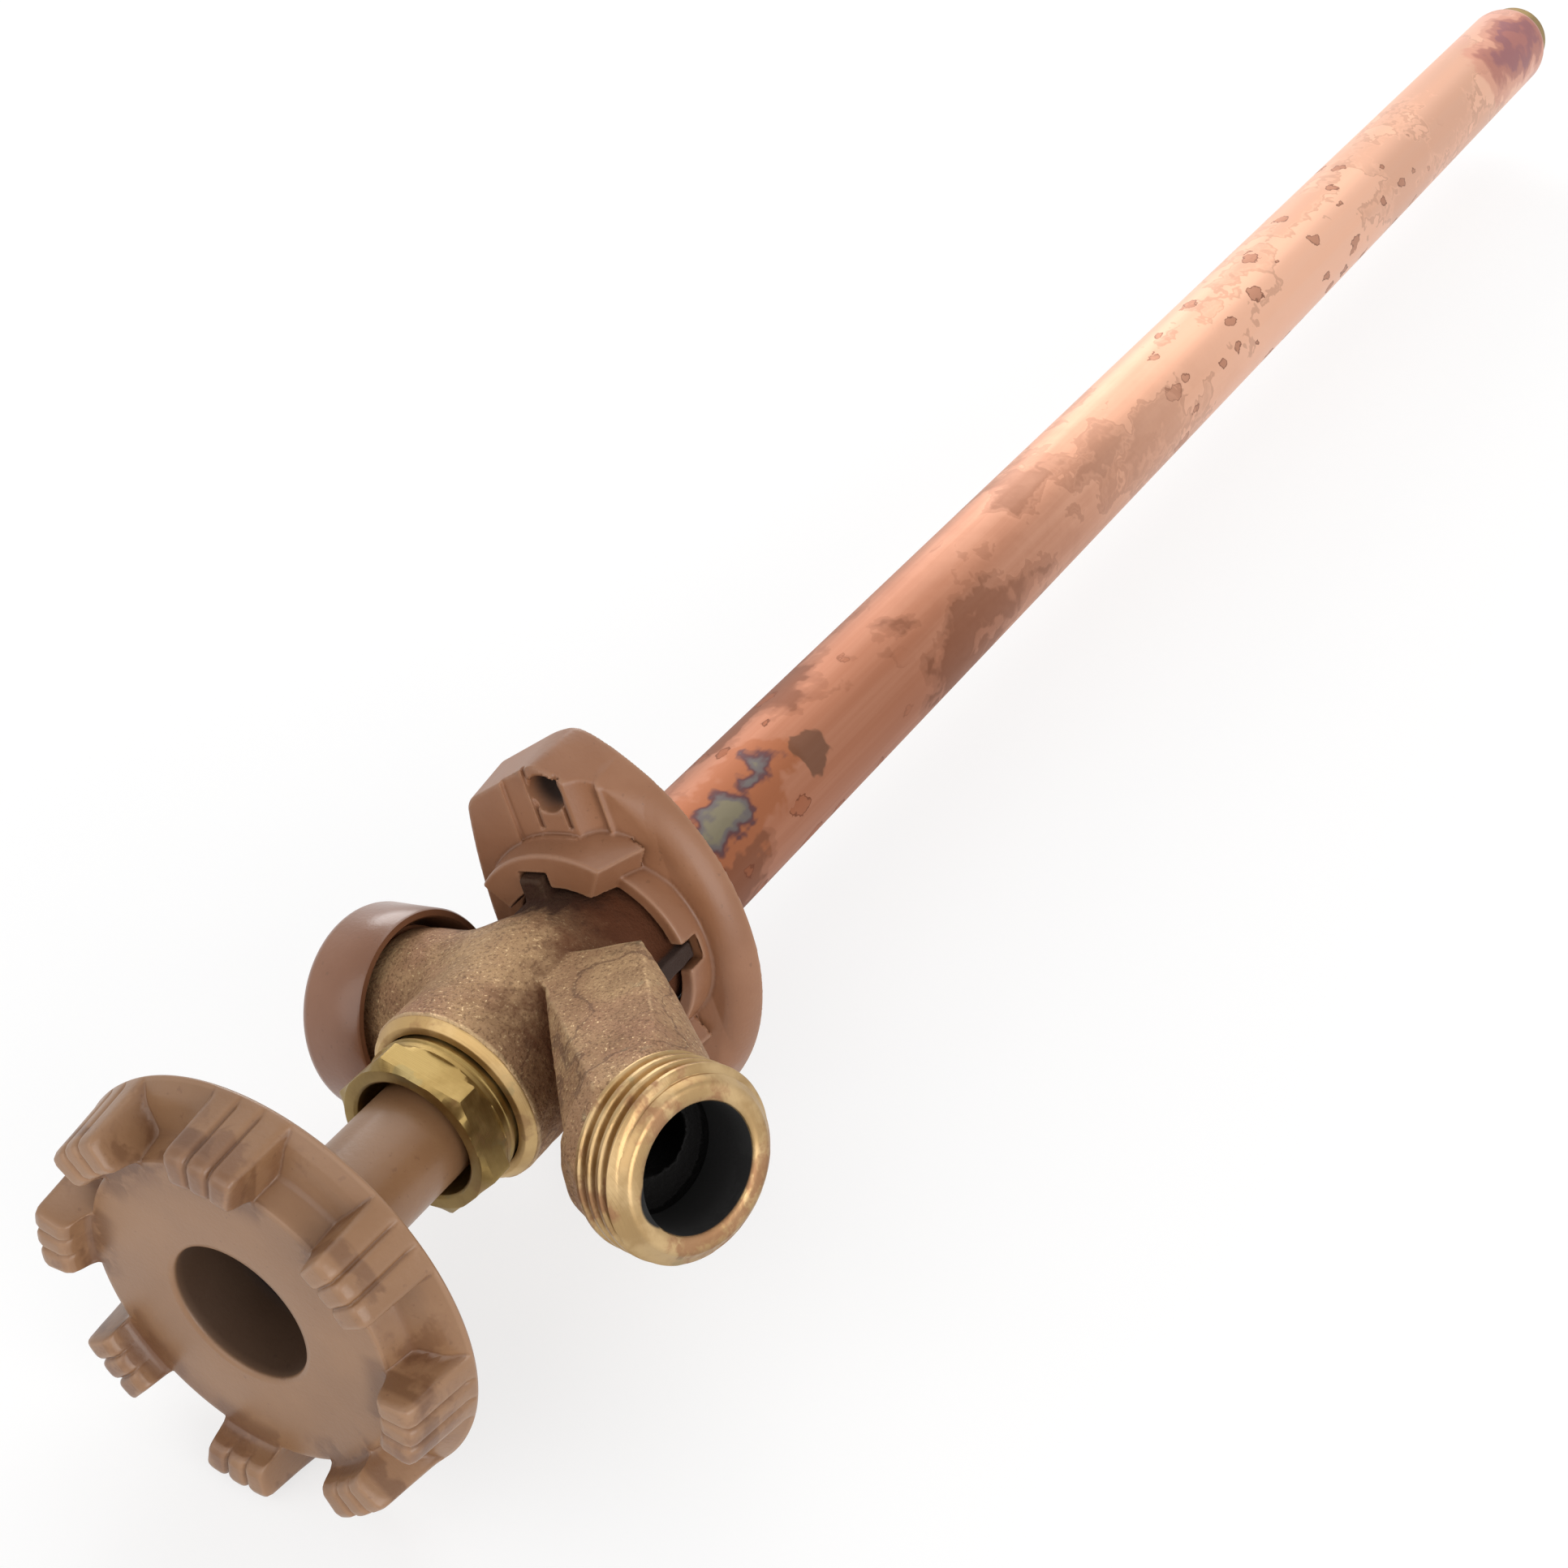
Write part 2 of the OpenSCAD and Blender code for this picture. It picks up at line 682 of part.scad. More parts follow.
module stem() {
    y_front = y_recess + 0.5;
    y_grip = y_stem_end - rod_grip;
    y_screw_end = y_recess + screw_reach + screw_past;
    color(brass) difference() {
        lathe_y([
            [screw_d / 2 + fit_gap, y_front], [spline_r, y_front], [spline_r, y_recess + spline_len],
            [stem_r, y_recess + spline_len], [stem_r, y_stem_thread], [stem_thread_r, y_stem_thread + 0.6],
            [stem_thread_r, y_stem_tail - 0.6], [stem_tail_r, y_stem_tail], [stem_tail_r, y_stem_end],
            [rod_r + fit_gap, y_stem_end], [rod_r + fit_gap, y_grip], [0, y_grip],
            [0, y_screw_end], [screw_d / 2 + fit_gap, y_screw_end]
        ]);
        pin_hole(stem_tail_r);
    }
}

module pin_hole(reach) {
    translate([-reach - 1, y_stem_end - rod_grip / 2, 0]) rotate([0, 90, 0])
        cylinder(h = 2 * reach + 2, d = pin_d + 2 * fit_gap);
}

module operating_rod() {
    color(brass) difference() {
        lathe_y([
            [0, y_stem_end - rod_grip], [rod_r, y_stem_end - rod_grip], [rod_r, y_knob],
            [knob_r, y_knob], [knob_r, y_knob_back], [0, y_knob_back]
        ]);
        pin_hole(rod_r);
    }
}

module rod_pin() {
    color(steel) translate([-stem_tail_r + 0.1, y_stem_end - rod_grip / 2, 0]) rotate([0, 90, 0])
        cylinder(h = 2 * stem_tail_r - 0.2, d = pin_d);
}

module rod_guides() {
    fin_t = 2;
    sleeve_r = rod_r + 1.8;
    y_first = y_stem_end + (y_holder - y_stem_end) / 3;
    y_second = y_stem_end + (y_holder - y_stem_end) * 2 / 3;
    color(nylon) for (y = [y_first, y_second]) difference() {
        union() {
            ring_y(0, sleeve_r, y, y + guide_len);
            for (a = [90, 210, 330])
                rotate([0, a, 0]) translate([0, y, -fin_t / 2])
                    cube([tube_in_r - clear_gap, guide_len, fin_t]);
        }
        ring_y(0, rod_r + fit_gap, y - 1, y + guide_len + 1);
    }
}

module washer_holder() {
    color(brass) lathe_y([
        [rod_r + fit_gap, y_holder], [knob_r + 1.6, y_holder], [holder_r, y_holder + 3],
        [holder_r, y_washer + cup_depth], [washer_d / 2 + fit_gap, y_washer + cup_depth],
        [washer_d / 2 + fit_gap, y_washer], [washer_screw_d / 2 + fit_gap, y_washer],
        [washer_screw_d / 2 + fit_gap, y_knob_back + fit_gap], [knob_r + fit_gap, y_knob_back + fit_gap],
        [knob_r + fit_gap, y_knob - fit_gap], [rod_r + fit_gap, y_knob - fit_gap]
    ]);
}

module seat_washer() {
    color(rubber) ring_y(washer_screw_d / 2 + fit_gap, washer_d / 2, y_washer, y_washer_back);
}

module washer_screw() {
    y_tip = y_knob_back + 2 * fit_gap;
    color(brass) lathe_y([
        [0, y_tip], [washer_screw_d / 2, y_tip], [washer_screw_d / 2, y_washer_back],
        [washer_head_d / 2, y_washer_back], [washer_head_d / 2 - 0.6, y_washer_back + washer_head_t],
        [0, y_washer_back + washer_head_t]
    ]);
}

body_casting();
casing_tube();
inlet_fitting();
wall_flange();
packing_nut();
packing_washer();
stem_packing();
breaker_bonnet();
bonnet_gasket();
breaker_cap();
vent_float();
float_seal();
handle_wheel();
handle_screw();
screw_washer();
stem();
operating_rod();
rod_pin();
rod_guides();
washer_holder();
seat_washer();
washer_screw();
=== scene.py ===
# %% [markdown]
# # A frost free sillcock, drawn around its CAD frame
#
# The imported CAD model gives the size, the moving bodies and every hidden piece. This lesson adds what a
# solid modeller leaves out: cast skin with soft fillets, moulded ridges, a cut hose thread, stained copper.
# Three kinds of surface do the work, each computed on whole numpy arrays:
#
# * a distance field meshed with a surface net, for the cast body and the moulded flange,
# * a turned profile that may change with the angle, for the handle, nut, cap, tube and thread,
# * the CAD pieces themselves, with new materials, for everything else.
#
# Lengths below are in millimetres in the frame of the part: +Y into the wall, +Z up, the wall at y = 0.

import json

import bpy
import numpy as np
from mathutils import Matrix


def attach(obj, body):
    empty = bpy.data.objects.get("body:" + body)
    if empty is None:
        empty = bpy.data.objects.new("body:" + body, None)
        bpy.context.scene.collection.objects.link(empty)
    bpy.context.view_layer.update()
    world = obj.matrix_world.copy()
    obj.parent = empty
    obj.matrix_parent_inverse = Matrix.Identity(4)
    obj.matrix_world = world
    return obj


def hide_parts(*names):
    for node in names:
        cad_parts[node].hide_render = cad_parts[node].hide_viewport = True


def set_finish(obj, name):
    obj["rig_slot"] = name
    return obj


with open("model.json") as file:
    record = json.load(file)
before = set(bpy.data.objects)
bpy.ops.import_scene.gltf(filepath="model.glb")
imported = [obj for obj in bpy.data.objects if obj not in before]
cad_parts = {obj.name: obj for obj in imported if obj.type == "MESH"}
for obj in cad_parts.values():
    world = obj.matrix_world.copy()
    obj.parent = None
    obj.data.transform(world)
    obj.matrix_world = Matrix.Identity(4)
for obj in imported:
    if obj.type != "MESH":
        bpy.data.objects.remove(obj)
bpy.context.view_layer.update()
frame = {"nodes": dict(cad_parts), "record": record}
MM = 0.001

# %% [markdown]
# ## Sizes shared by several pieces

# %%
BARREL_R, NECK_R, FACE_Y = 14.35, 13.2, -48.1
BOSS_R, BOSS_Y, BOSS_TOP = 12.5, -27.7, 23.0
HOSE_R, MOUTH_R, NOZZLE_LEN, LEAN = 13.45, 8.9, 8.4, np.radians(16.2)
MOUTH = np.array([0.0, -54.7, -48.8])
THREAD_PITCH, THREAD_DEPTH = 2.209, 1.25
TUBE_R, TUBE_END, TURN_IN = 11.11, 450.0, 3.0
HUB_R, HEX_FLATS = 7.95, 23.4
HOLE_X, HOLE_R = 27.5, 3.15
LUGS, BARS, BAR_PITCH = 8, 3, np.radians(6.6)


def nozzle_frame(x, y, z):
    """Coordinates about the nozzle: (x, u, w) with w measured from the mouth back into the arm.

    With lean a, w = (y - y0) sin a + (z - z0) cos a and u = (y - y0) cos a - (z - z0) sin a.
    """
    s, c = np.sin(LEAN), np.cos(LEAN)
    return x, (y - MOUTH[1]) * c - (z - MOUTH[2]) * s, (y - MOUTH[1]) * s + (z - MOUTH[2]) * c


def nozzle_point(u, w=9.0):
    """The place (y, z) in the side view of a point u, w of the nozzle's frame."""
    s, c = np.sin(LEAN), np.cos(LEAN)
    return MOUTH[1] + u * c + w * s, MOUTH[2] - u * s + w * c


def passage_frame(x, y, z):
    """Distance from the sloping water passage's axis, and the way along it from the tube's axis."""
    y1, z1 = nozzle_point(0.0)
    length = np.hypot(y1 + 17.0, z1)
    dy, dz = (y1 + 17.0) / length, z1 / length
    off = (y + 17.0) * dz - z * dy
    return (x * x + off * off) ** 0.5, (y + 17.0) * dy + z * dz


# %% [markdown]
# ## Distance fields
#
# A solid is a function that is negative inside. Two solids join with a smooth minimum: inside a band of
# width k around the seam it bends one surface into the other, which is a casting's fillet.


# %%
def smin(a, b, k):
    """min(a, b) rounded over a band k: with h = clip(1/2 + (b - a)/2k, 0, 1), b(1 - h) + ah - kh(1 - h)."""
    h = np.clip(0.5 + 0.5 * (b - a) / k, 0.0, 1.0)
    return b * (1 - h) + a * h - k * h * (1 - h)


def smax(a, b, k):
    """max(a, b) rounded over a band k, by -smin(-a, -b)."""
    return -smin(-a, -b, k)


def slab(v, low, high, k=0.3):
    """Distance outside the interval low..high along one coordinate."""
    return smax(low - v, v - high, k)


def half_plane(y, z, p, q):
    """Signed distance in the side view to the line p to q, negative on its right-hand side."""
    dy, dz = q[0] - p[0], q[1] - p[1]
    return ((z - p[1]) * dy - (y - p[0]) * dz) / np.hypot(dy, dz)


def gradient(field, points, h=0.08):
    """Central differences (f(p + h) - f(p - h)) / 2h along each axis."""
    ahead = [field(*(points + h * e).T) - field(*(points - h * e).T) for e in np.eye(3)]
    return np.stack(ahead, 1) / (2 * h)


def surface_net(field, low, high, step):
    """Vertices, quads and normals of field(x, y, z) = 0 on a grid, by naive surface nets.

    Each cell that the surface crosses gets one vertex, the mean of the crossings t = a/(a - b) on its edges,
    and each crossed grid edge joins the four cells around it with one quad. Newton steps p - f g / |g|^2 with
    the gradient g then set the vertices on the surface itself, and g gives the normals.
    """
    axes = [np.arange(a, b + step, step) for a, b in zip(low, high)]
    d = field(*np.meshgrid(*axes, indexing="ij", sparse=True))
    n = [s - 1 for s in d.shape]
    total, count = np.zeros((*n, 3)), np.zeros(n)
    crossings = []
    for axis in range(3):
        b, c = (axis + 1) % 3, (axis + 2) % 3
        first = np.moveaxis(d, axis, 0)[:-1]
        second = np.moveaxis(d, axis, 0)[1:]
        crossed = np.moveaxis((first < 0) != (second < 0), 0, axis)
        gap = np.moveaxis(first - second, 0, axis)
        t = np.where(crossed, np.moveaxis(first, 0, axis) / np.where(crossed, gap, 1), 0)
        crossings.append(crossed)
        for i in (0, 1):
            for j in (0, 1):
                at = [slice(None)] * 3
                at[b], at[c] = slice(i, i + n[b]), slice(j, j + n[c])
                hit = crossed[tuple(at)]
                count += hit
                total[..., axis] += t[tuple(at)]
                total[..., b] += i * hit
                total[..., c] += j * hit
    used = count > 0
    index = np.full(n, -1)
    index[used] = np.arange(used.sum())
    verts = np.array(low) + step * (np.argwhere(used) + total[used] / count[used][:, None])
    quads = []
    for axis, crossed in enumerate(crossings):
        b, c = (axis + 1) % 3, (axis + 2) % 3
        at = np.argwhere(crossed)
        at = at[(at[:, b] > 0) & (at[:, b] < n[b]) & (at[:, c] > 0) & (at[:, c] < n[c])]
        corner = []
        for i, j in ((-1, -1), (0, -1), (0, 0), (-1, 0)):
            cell = at.copy()
            cell[:, b] += i
            cell[:, c] += j
            corner.append(index[tuple(cell.T)])
        quad = np.stack(corner, 1)
        outward = d[tuple(at.T)] < 0
        quads.append(np.where(outward[:, None], quad, quad[:, ::-1]))
    for _ in range(3):
        g = gradient(field, verts)
        move = field(*verts.T)[:, None] * g / np.maximum((g * g).sum(1), 0.2)[:, None]
        verts = verts - np.clip(move, -0.5 * step, 0.5 * step)
    g = gradient(field, verts)
    return verts, np.concatenate(quads), g / np.maximum(np.linalg.norm(g, axis=1), 1e-6)[:, None]


# %% [markdown]
# ## Turned surfaces
#
# A closed profile swept about an axis. Radius and height come as arrays of (angle, profile point), so a
# hexagon, a helix or a set of ridges is only another term in the radius.


# %%
def turned(radius, height, angles):
    """Vertices and quads of a closed profile at each angle: (r cos a, h, r sin a) about +Y."""
    a = angles[:, None]
    verts = np.stack([radius * np.cos(a), height + 0 * a, radius * np.sin(a)], -1)
    rows, cols = radius.shape
    i, j = np.meshgrid(np.arange(rows), np.arange(cols), indexing="ij")
    i2, j2 = (i + 1) % rows, (j + 1) % cols
    quads = np.stack([i * cols + j, i * cols + j2, i2 * cols + j2, i2 * cols + j], -1)
    return verts.reshape(-1, 3), quads.reshape(-1, 4)


def crisp(points, cut=0.15):
    """A closed profile whose corners are cut at a fixed small distance, so that its edges catch light."""
    p = np.array(points, float)
    before, after = np.roll(p, 1, 0) - p, np.roll(p, -1, 0) - p
    back = before * np.minimum(cut / np.hypot(*before.T), 0.3)[:, None]
    on = after * np.minimum(cut / np.hypot(*after.T), 0.3)[:, None]
    return np.stack([p + back, p + 0.25 * (back + on), p + on], 1).reshape(-1, 2)


def sweep(profile, count=192):
    """Radius and height arrays of a plain turned profile, with its angles."""
    angles = np.linspace(0, 2 * np.pi, count, endpoint=False)
    return np.tile(profile[:, 0], (count, 1)), np.tile(profile[:, 1], (count, 1)), angles


def upright(verts):
    """Turned about +Z through the vacuum breaker instead of about +Y."""
    return np.stack([verts[:, 0], BOSS_Y - verts[:, 2], verts[:, 1]], 1)


def leaning(verts):
    """Turned about the nozzle's own axis, its height measured from the mouth into the arm."""
    s, c = np.sin(LEAN), np.cos(LEAN)
    x, w, u = verts[:, 0], verts[:, 1], -verts[:, 2]
    return np.stack([x, MOUTH[1] + u * c + w * s, MOUTH[2] - u * s + w * c], 1)


def bend_of(mesh):
    """How sharply the surface turns at each vertex, per millimetre: above 0 on edges, below 0 in corners.

    Along an edge p, q of the mesh with normals m, n the curvature is (n - m).(q - p) / |q - p|^2. The mean over
    a vertex's edges is then spread once over its neighbours.
    """
    ends = np.empty(2 * len(mesh.edges), int)
    mesh.edges.foreach_get("vertices", ends)
    a, b = ends.reshape(-1, 2).T
    place, normal = np.empty((2, 3 * len(mesh.vertices)))
    mesh.vertices.foreach_get("co", place)
    mesh.vertices.foreach_get("normal", normal)
    place, normal = place.reshape(-1, 3) / MM, normal.reshape(-1, 3)
    step = place[b] - place[a]
    along = ((normal[b] - normal[a]) * step).sum(1) / np.maximum((step * step).sum(1), 0.01)
    count = np.bincount(ends, minlength=len(place))
    bend = (np.bincount(a, along, len(place)) + np.bincount(b, along, len(place))) / count
    return (np.bincount(a, bend[b], len(place)) + np.bincount(b, bend[a], len(place))) / count


def placed(x, y, z, at):
    """The matrix of an object whose own axes point along x, y and z and whose origin is at a place."""
    return Matrix([*np.column_stack([x, y, z, at]).tolist(), [0, 0, 0, 1]])


def piece(name, shape, body, slot, replaces=(), sharp=None):
    """A mesh object in the part's frame that rides a body and may stand for CAD nodes."""
    verts, quads = shape[:2]
    mesh = bpy.data.meshes.new(name)
    mesh.from_pydata((verts * MM).tolist(), [], quads.tolist())
    mesh.validate()
    mesh.polygons.foreach_set("use_smooth", np.ones(len(mesh.polygons), bool))
    obj = bpy.data.objects.new(name, mesh)
    bpy.context.scene.collection.objects.link(obj)
    if sharp is not None:
        mesh.set_sharp_from_angle(angle=np.radians(sharp))
    mesh.attributes.new("bend", "FLOAT", "POINT").data.foreach_set("value", bend_of(mesh))
    if len(shape) > 2:
        mesh.normals_split_custom_set_from_vertices(shape[2].tolist())
    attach(obj, body)
    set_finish(obj, slot)
    if replaces:
        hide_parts(*replaces)
    return obj


# %% [markdown]
# ## The cast body
#
# Barrel, boss and arm are joined with wide smooth minima, as a pattern maker fillets them. The arm lies
# between flat cheeks, and turns from a rectangle into the nozzle's circle.


# %%
def arm_hull(x, y, z, half):
    """The hull from a rectangular section (half wide, heel to brow) to the nozzle's circle of radius R.

    At a share t of the way its section is a box between the two sizes, with corners cut by (2 - sqrt 2) t R, so
    each corner opens into a facet, and at t = 1 the section is the octagon around the circle.
    """
    heel, brow = np.array([-20.9, -19.9]), np.array([-34.2, -11.8])
    middle, end = (heel + brow) / 2, np.array(nozzle_point(0.0))
    deep = np.linalg.norm(heel - brow) / 2
    e0, e1 = (heel - brow) / (2 * deep), np.array([np.cos(LEAN), -np.sin(LEAN)])
    down = np.array([e0[1], -e0[0]])
    w, w0 = nozzle_frame(x, y, z)[2], nozzle_frame(0.0, *middle)[2]
    a = ((y - middle[0]) * down[0] + (z - middle[1]) * down[1]) / np.dot(end - middle, down)
    b = (w - 9.0) / (w0 - 9.0)
    t = np.clip(a / np.maximum(a + b, 0.01), 0, 1)
    ey, ez = e0[0] + t * (e1[0] - e0[0]), e0[1] + t * (e1[1] - e0[1])
    v = (y - middle[0] - t * (end - middle)[0]) * ey + (z - middle[1] - t * (end - middle)[1]) * ez
    size = HOSE_R - 0.5
    qx, qv = np.abs(x) - half - t * (size - half), np.abs(v / np.hypot(ey, ez)) - deep - t * (size - deep)
    return smax(smax(qx, qv, 0.25), (qx + qv + (2 - 2**0.5) * t * size) * 0.5**0.5, 0.25)


def casting(x, y, z):
    """The cast body: barrel, boss, arm, ears and rib, a faint ripple of the skin, and the bores cut last."""
    rho = np.hypot(x, z)
    wall = np.interp(y, [FACE_Y, -22.6, -18.4, -1.0], [BARREL_R, BARREL_R, NECK_R, NECK_R])
    barrel = smax(rho - wall, slab(y, FACE_Y + 1.3, -1.0), 0.4)
    boss = smax(np.hypot(x, y - BOSS_Y) - BOSS_R, slab(z, 0.0, BOSS_TOP), 0.5)
    _, u, w = nozzle_frame(x, y, z)
    arm = arm_hull(x, y, z, 11.0 + 2.0 * np.clip((z + 13.0) / 9.0, 0, 1) ** 2)
    arm = smax(arm, half_plane(y, z, (-28.8, -1.7), (-20.9, -19.9)), 0.55)
    arm = smax(arm, NOZZLE_LEN - 0.6 - w, 0.3)
    neck = smax(np.hypot(x, u) - HOSE_R + 1.5, slab(w, NOZZLE_LEN - 0.6, NOZZLE_LEN + 6), 1.0)
    flare = np.hypot(x, u) - HOSE_R + 1.1 - 0.55 * np.clip(w - NOZZLE_LEN, 0, 40)
    arm = smax(smin(arm, neck, 1.6), flare, 0.8)
    body = smin(smin(barrel, boss, 3.5), arm, 1.1)
    ear = smax(smax(np.abs(x) - 16.4, slab(y, -15.6, -10.8), 0.5), slab(z, 1.0, 5.2), 0.5)
    rib = smax(smax(np.abs(x) - 1.4, slab(y, -24.0, -7.1), 0.5), slab(z, -15.7, -5.0), 0.5)
    body = smin(smin(body, ear, 0.8), rib, 1.0)
    ripple = np.sin(0.9 * x + 0.5 * y) * np.sin(0.7 * z - 0.6 * y)
    ripple = ripple + np.sin(1.7 * y + 0.8 * z) * np.sin(1.3 * x)
    body = body + 0.035 * ripple
    bores = smax(rho - 11.75, slab(y, FACE_Y - 3, FACE_Y + 2.0), 0.1)
    for r, y0, y1 in ((10.35, FACE_Y - 2, -39.2), (6.25, -41.0, -31.0), (9.2, -31.3, 2.0), (10.6, -16.0, 2.0)):
        bores = smin(bores, smax(rho - r, slab(y, y0, y1), 0.1), 0.1)
    for r, z0, z1 in ((9.5, 10.8, 30.0), (3.5, 0.0, 12.0)):
        bores = smin(bores, smax(np.hypot(x, y - BOSS_Y) - r, slab(z, z0, z1), 0.1), 0.1)
    bores = smin(bores, smax(np.hypot(x, u) - MOUTH_R - 0.1, slab(w, -5.0, NOZZLE_LEN + 2.9), 0.1), 0.1)
    across, along = passage_frame(x, y, z)
    bores = smin(bores, smax(across - 4.8, slab(along, 0.0, 53.0), 0.1), 0.1)
    return smax(body, -bores, 0.25)


shape = surface_net(casting, (-17.2, -64.5, -49.5), (17.2, 0.5, 24.0), 0.46)
cast_body = piece("cast_body", shape, "housing", "cast_bronze", ["body_casting"])

# %% [markdown]
# The turned front ring and the threaded nozzle are machined, so they keep exact circles. The hose thread is
# a groove whose depth depends on the phase w/pitch - angle/2 pi.

# %%
ring = crisp([
    [11.8, -46.1], [11.8, FACE_Y], [13.0, FACE_Y], [14.1, FACE_Y + 1.2], [14.1, -46.0], [13.4, -45.2],
], 0.12)
face_ring = piece("face_ring", turned(*sweep(ring)), "housing", "cast_bronze", ["body_casting"], 40)

outside = np.linspace(1.0, NOZZLE_LEN + 0.4, 76)
profile = np.concatenate([
    [[MOUTH_R, 9.6], [MOUTH_R, 5.0], [MOUTH_R, 0.35], [MOUTH_R + 0.25, 0.05], [MOUTH_R + 1.0, 0.0]],
    [[10.8, 0.0], [11.35, 0.05], [11.6, 0.3]],
    np.stack([0 * outside + HOSE_R, outside], 1),
    [[11.2, NOZZLE_LEN + 0.5], [11.2, 9.6]],
])
angles = np.linspace(0, 2 * np.pi, 240, endpoint=False)
radius, height, _ = sweep(profile, len(angles))
phase = (height / THREAD_PITCH + angles[:, None] / (2 * np.pi)) % 1.0
crest = np.clip(1.9 * np.abs(2 * phase - 1) - 0.45, 0, 1)
crest = crest * crest * (3 - 2 * crest)
start = np.clip((height - 0.6) / 1.3, 0, 1)
threaded = (np.arange(len(profile)) >= 8) & (np.arange(len(profile)) < 8 + len(outside))
groove = THREAD_DEPTH * (1 - crest)
radius = np.where(threaded, np.minimum(HOSE_R - groove, 11.75 + 1.7 * start), radius)
verts, quads = turned(radius, height, angles)
nozzle_end = piece("nozzle_end", (leaning(verts), quads), "housing", "cast_bronze", ["body_casting"], 50)

# %% [markdown]
# ## The moulded flange
#
# The outline is an intersection of two arcs and two straight sides, with a strong draft on the lower arc. The
# front panel carries a shallow screw strip, then falls in a cove to a low rib and slopes on to the lower edge.


# %%
HALF_W, LOW_ARC_Z, LOW_ARC_R, TOP_ARC_Z, TOP_ARC_R = 34.0, 17.6, 39.7, -79.8, 100.0
COVE_TOP, RIB_Z = -3.6, -8.0


def flange_outline(x, z, inset):
    """Signed distance to the outline drawn in by an inset: leaning sides under a low and a wide arc."""
    side = (np.abs(x) - HALF_W + inset) * 0.925 + z * 0.380
    side = smax(side, np.abs(x) - HALF_W + inset, 1.5)
    low, top = np.hypot(x, z - LOW_ARC_Z) - LOW_ARC_R, np.hypot(x, z - TOP_ARC_Z) - TOP_ARC_R
    return smax(smax(low + inset, top + inset, 0.8), side, 1.5)


def front_face(z):
    """Height of the front: flat, then half a parabola from the panel to the rib, then a straight slope."""
    cove = 1 - np.clip((COVE_TOP - z) / (COVE_TOP - RIB_Z), 0, 1)
    return -6.4 - 3.6 * cove**2 + 0.28 * np.clip(RIB_Z - z, 0, 6)


def flange(x, y, z):
    """The flange: panel, collar, rib and cheeks, less screw strips, windows, slot, hollow back and holes."""
    rho, ax = np.hypot(x, z), np.abs(x)
    outline = flange_outline(x, z, 0.12 * np.clip(-y, 0, 10))
    drafted = 0.947 * (np.hypot(x, z - LOW_ARC_Z) - LOW_ARC_R - 0.34 * y)
    rounding = 0.35 + 2.4 * np.clip((RIB_Z - 1.0 - z) / 4.0, 0, 1)
    block = smax(smax(outline, drafted, 0.6), 0.75 * (front_face(z) - y), rounding)
    collar = smax(rho - 16.6 - 0.04 * (y + 10), -9.8 - y, 0.5)
    rib = smax(smax(np.abs(z - RIB_Z) - 0.15, front_face(z) - 0.55 - y, 0.4), slab(ax, 19.0, 28.6), 0.4)
    block = smin(smin(block, collar, 0.5), smax(rib, drafted, 0.4), 0.9)
    strip = smax(smax(z - 7.4, 20.7 - rho, 0.3), y + 9.3, 0.2)
    groove = smax(np.abs(np.abs(z) - 2.75) - 0.35, smax(y + 8.6, slab(ax, 21.7, 32.0), 0.2), 0.2)
    block = smax(smax(block, -strip, 0.2), -groove, 0.2)
    up, low = np.radians(45), np.radians(-34)
    ends = smax(z * np.cos(up) - ax * np.sin(up), ax * np.sin(low) - z * np.cos(low) + 0.35 * (-9.5 - y), 0.3)
    cheek = smax(smax(rho - 20.7 - 0.12 * (y + 9), -14.4 - y, 0.6), ends, 0.3)
    block = smin(block, smax(cheek, y + 6.0, 0.3), 0.4)
    window = smax(smax(ax - 17.0, slab(z, 0.4, 5.8), 0.4), y + 9.2, 0.4)
    slot = smax(smax(ax - 2.2, slab(z, -16.5, 0.0), 0.5), y + 6.3, 0.3)
    hollow = smax(flange_outline(x, z, 3.4), front_face(z - 2.5) + 3.0 - y, 0.6)
    hollow = smax(smax(hollow, 16.6 - rho, 0.5), HOLE_R + 2.3 - np.hypot(ax - HOLE_X, z), 0.6)
    bore = smin(smax(rho - 14.4, y + 5.0, 0.4), rho - 13.5, 0.1)
    hole = np.hypot(ax - HOLE_X, z) - HOLE_R
    block = smax(block, y, 0.4)
    for away, k in ((window, 0.3), (slot, 0.4), (hollow, 0.5), (bore, 0.3), (hole, 0.3)):
        block = smax(block, -away, k)
    return block


shape = surface_net(flange, (-35.0, -15.6, -23.2), (35.0, 1.0, 21.2), 0.42)
wall_flange = piece("moulded_flange", shape, "housing", "clay_plastic", ["wall_flange"])

# %% [markdown]
# ## The hand wheel
#
# One profile for the scooped gaps and one for the lugs, point for point. A window in the angle blends from
# the first to the second, and each lug is split into three rounded bars by the valley 1 - sqrt(1 - t^4).

# %%
gap = [
    [4.6, -81.5], [10.2, -81.5], [10.75, -82.2], [10.75, -92.7], [11.1, -93.3], [17.0, -93.3], [23.2, -93.3],
    [23.6, -93.3], [24.3, -93.25], [24.55, -93.0], [24.8, -92.1], [25.2, -90.6], [25.55, -89.4], [26.1, -88.9],
    [27.6, -88.55], [29.3, -88.2], [30.4, -87.75], [31.3, -87.1], [31.9, -86.6], [32.4, -86.2], [32.3, -85.8],
    [31.4, -85.7], [30.4, -85.7], [29.7, -85.8], [26.6, -86.5], [23.7, -87.0], [22.9, -88.2], [22.5, -90.3],
    [14.8, -90.3], [13.2, -89.3], [13.15, -82.4], [11.6, -80.4], [8.8, -78.2], [HUB_R, -76.6], [HUB_R, -52.1],
    [7.4, -51.5], [5.3, -51.5], [5.05, -51.9], [5.05, -72.5], [4.6, -72.5],
]
lug = [list(p) for p in gap]
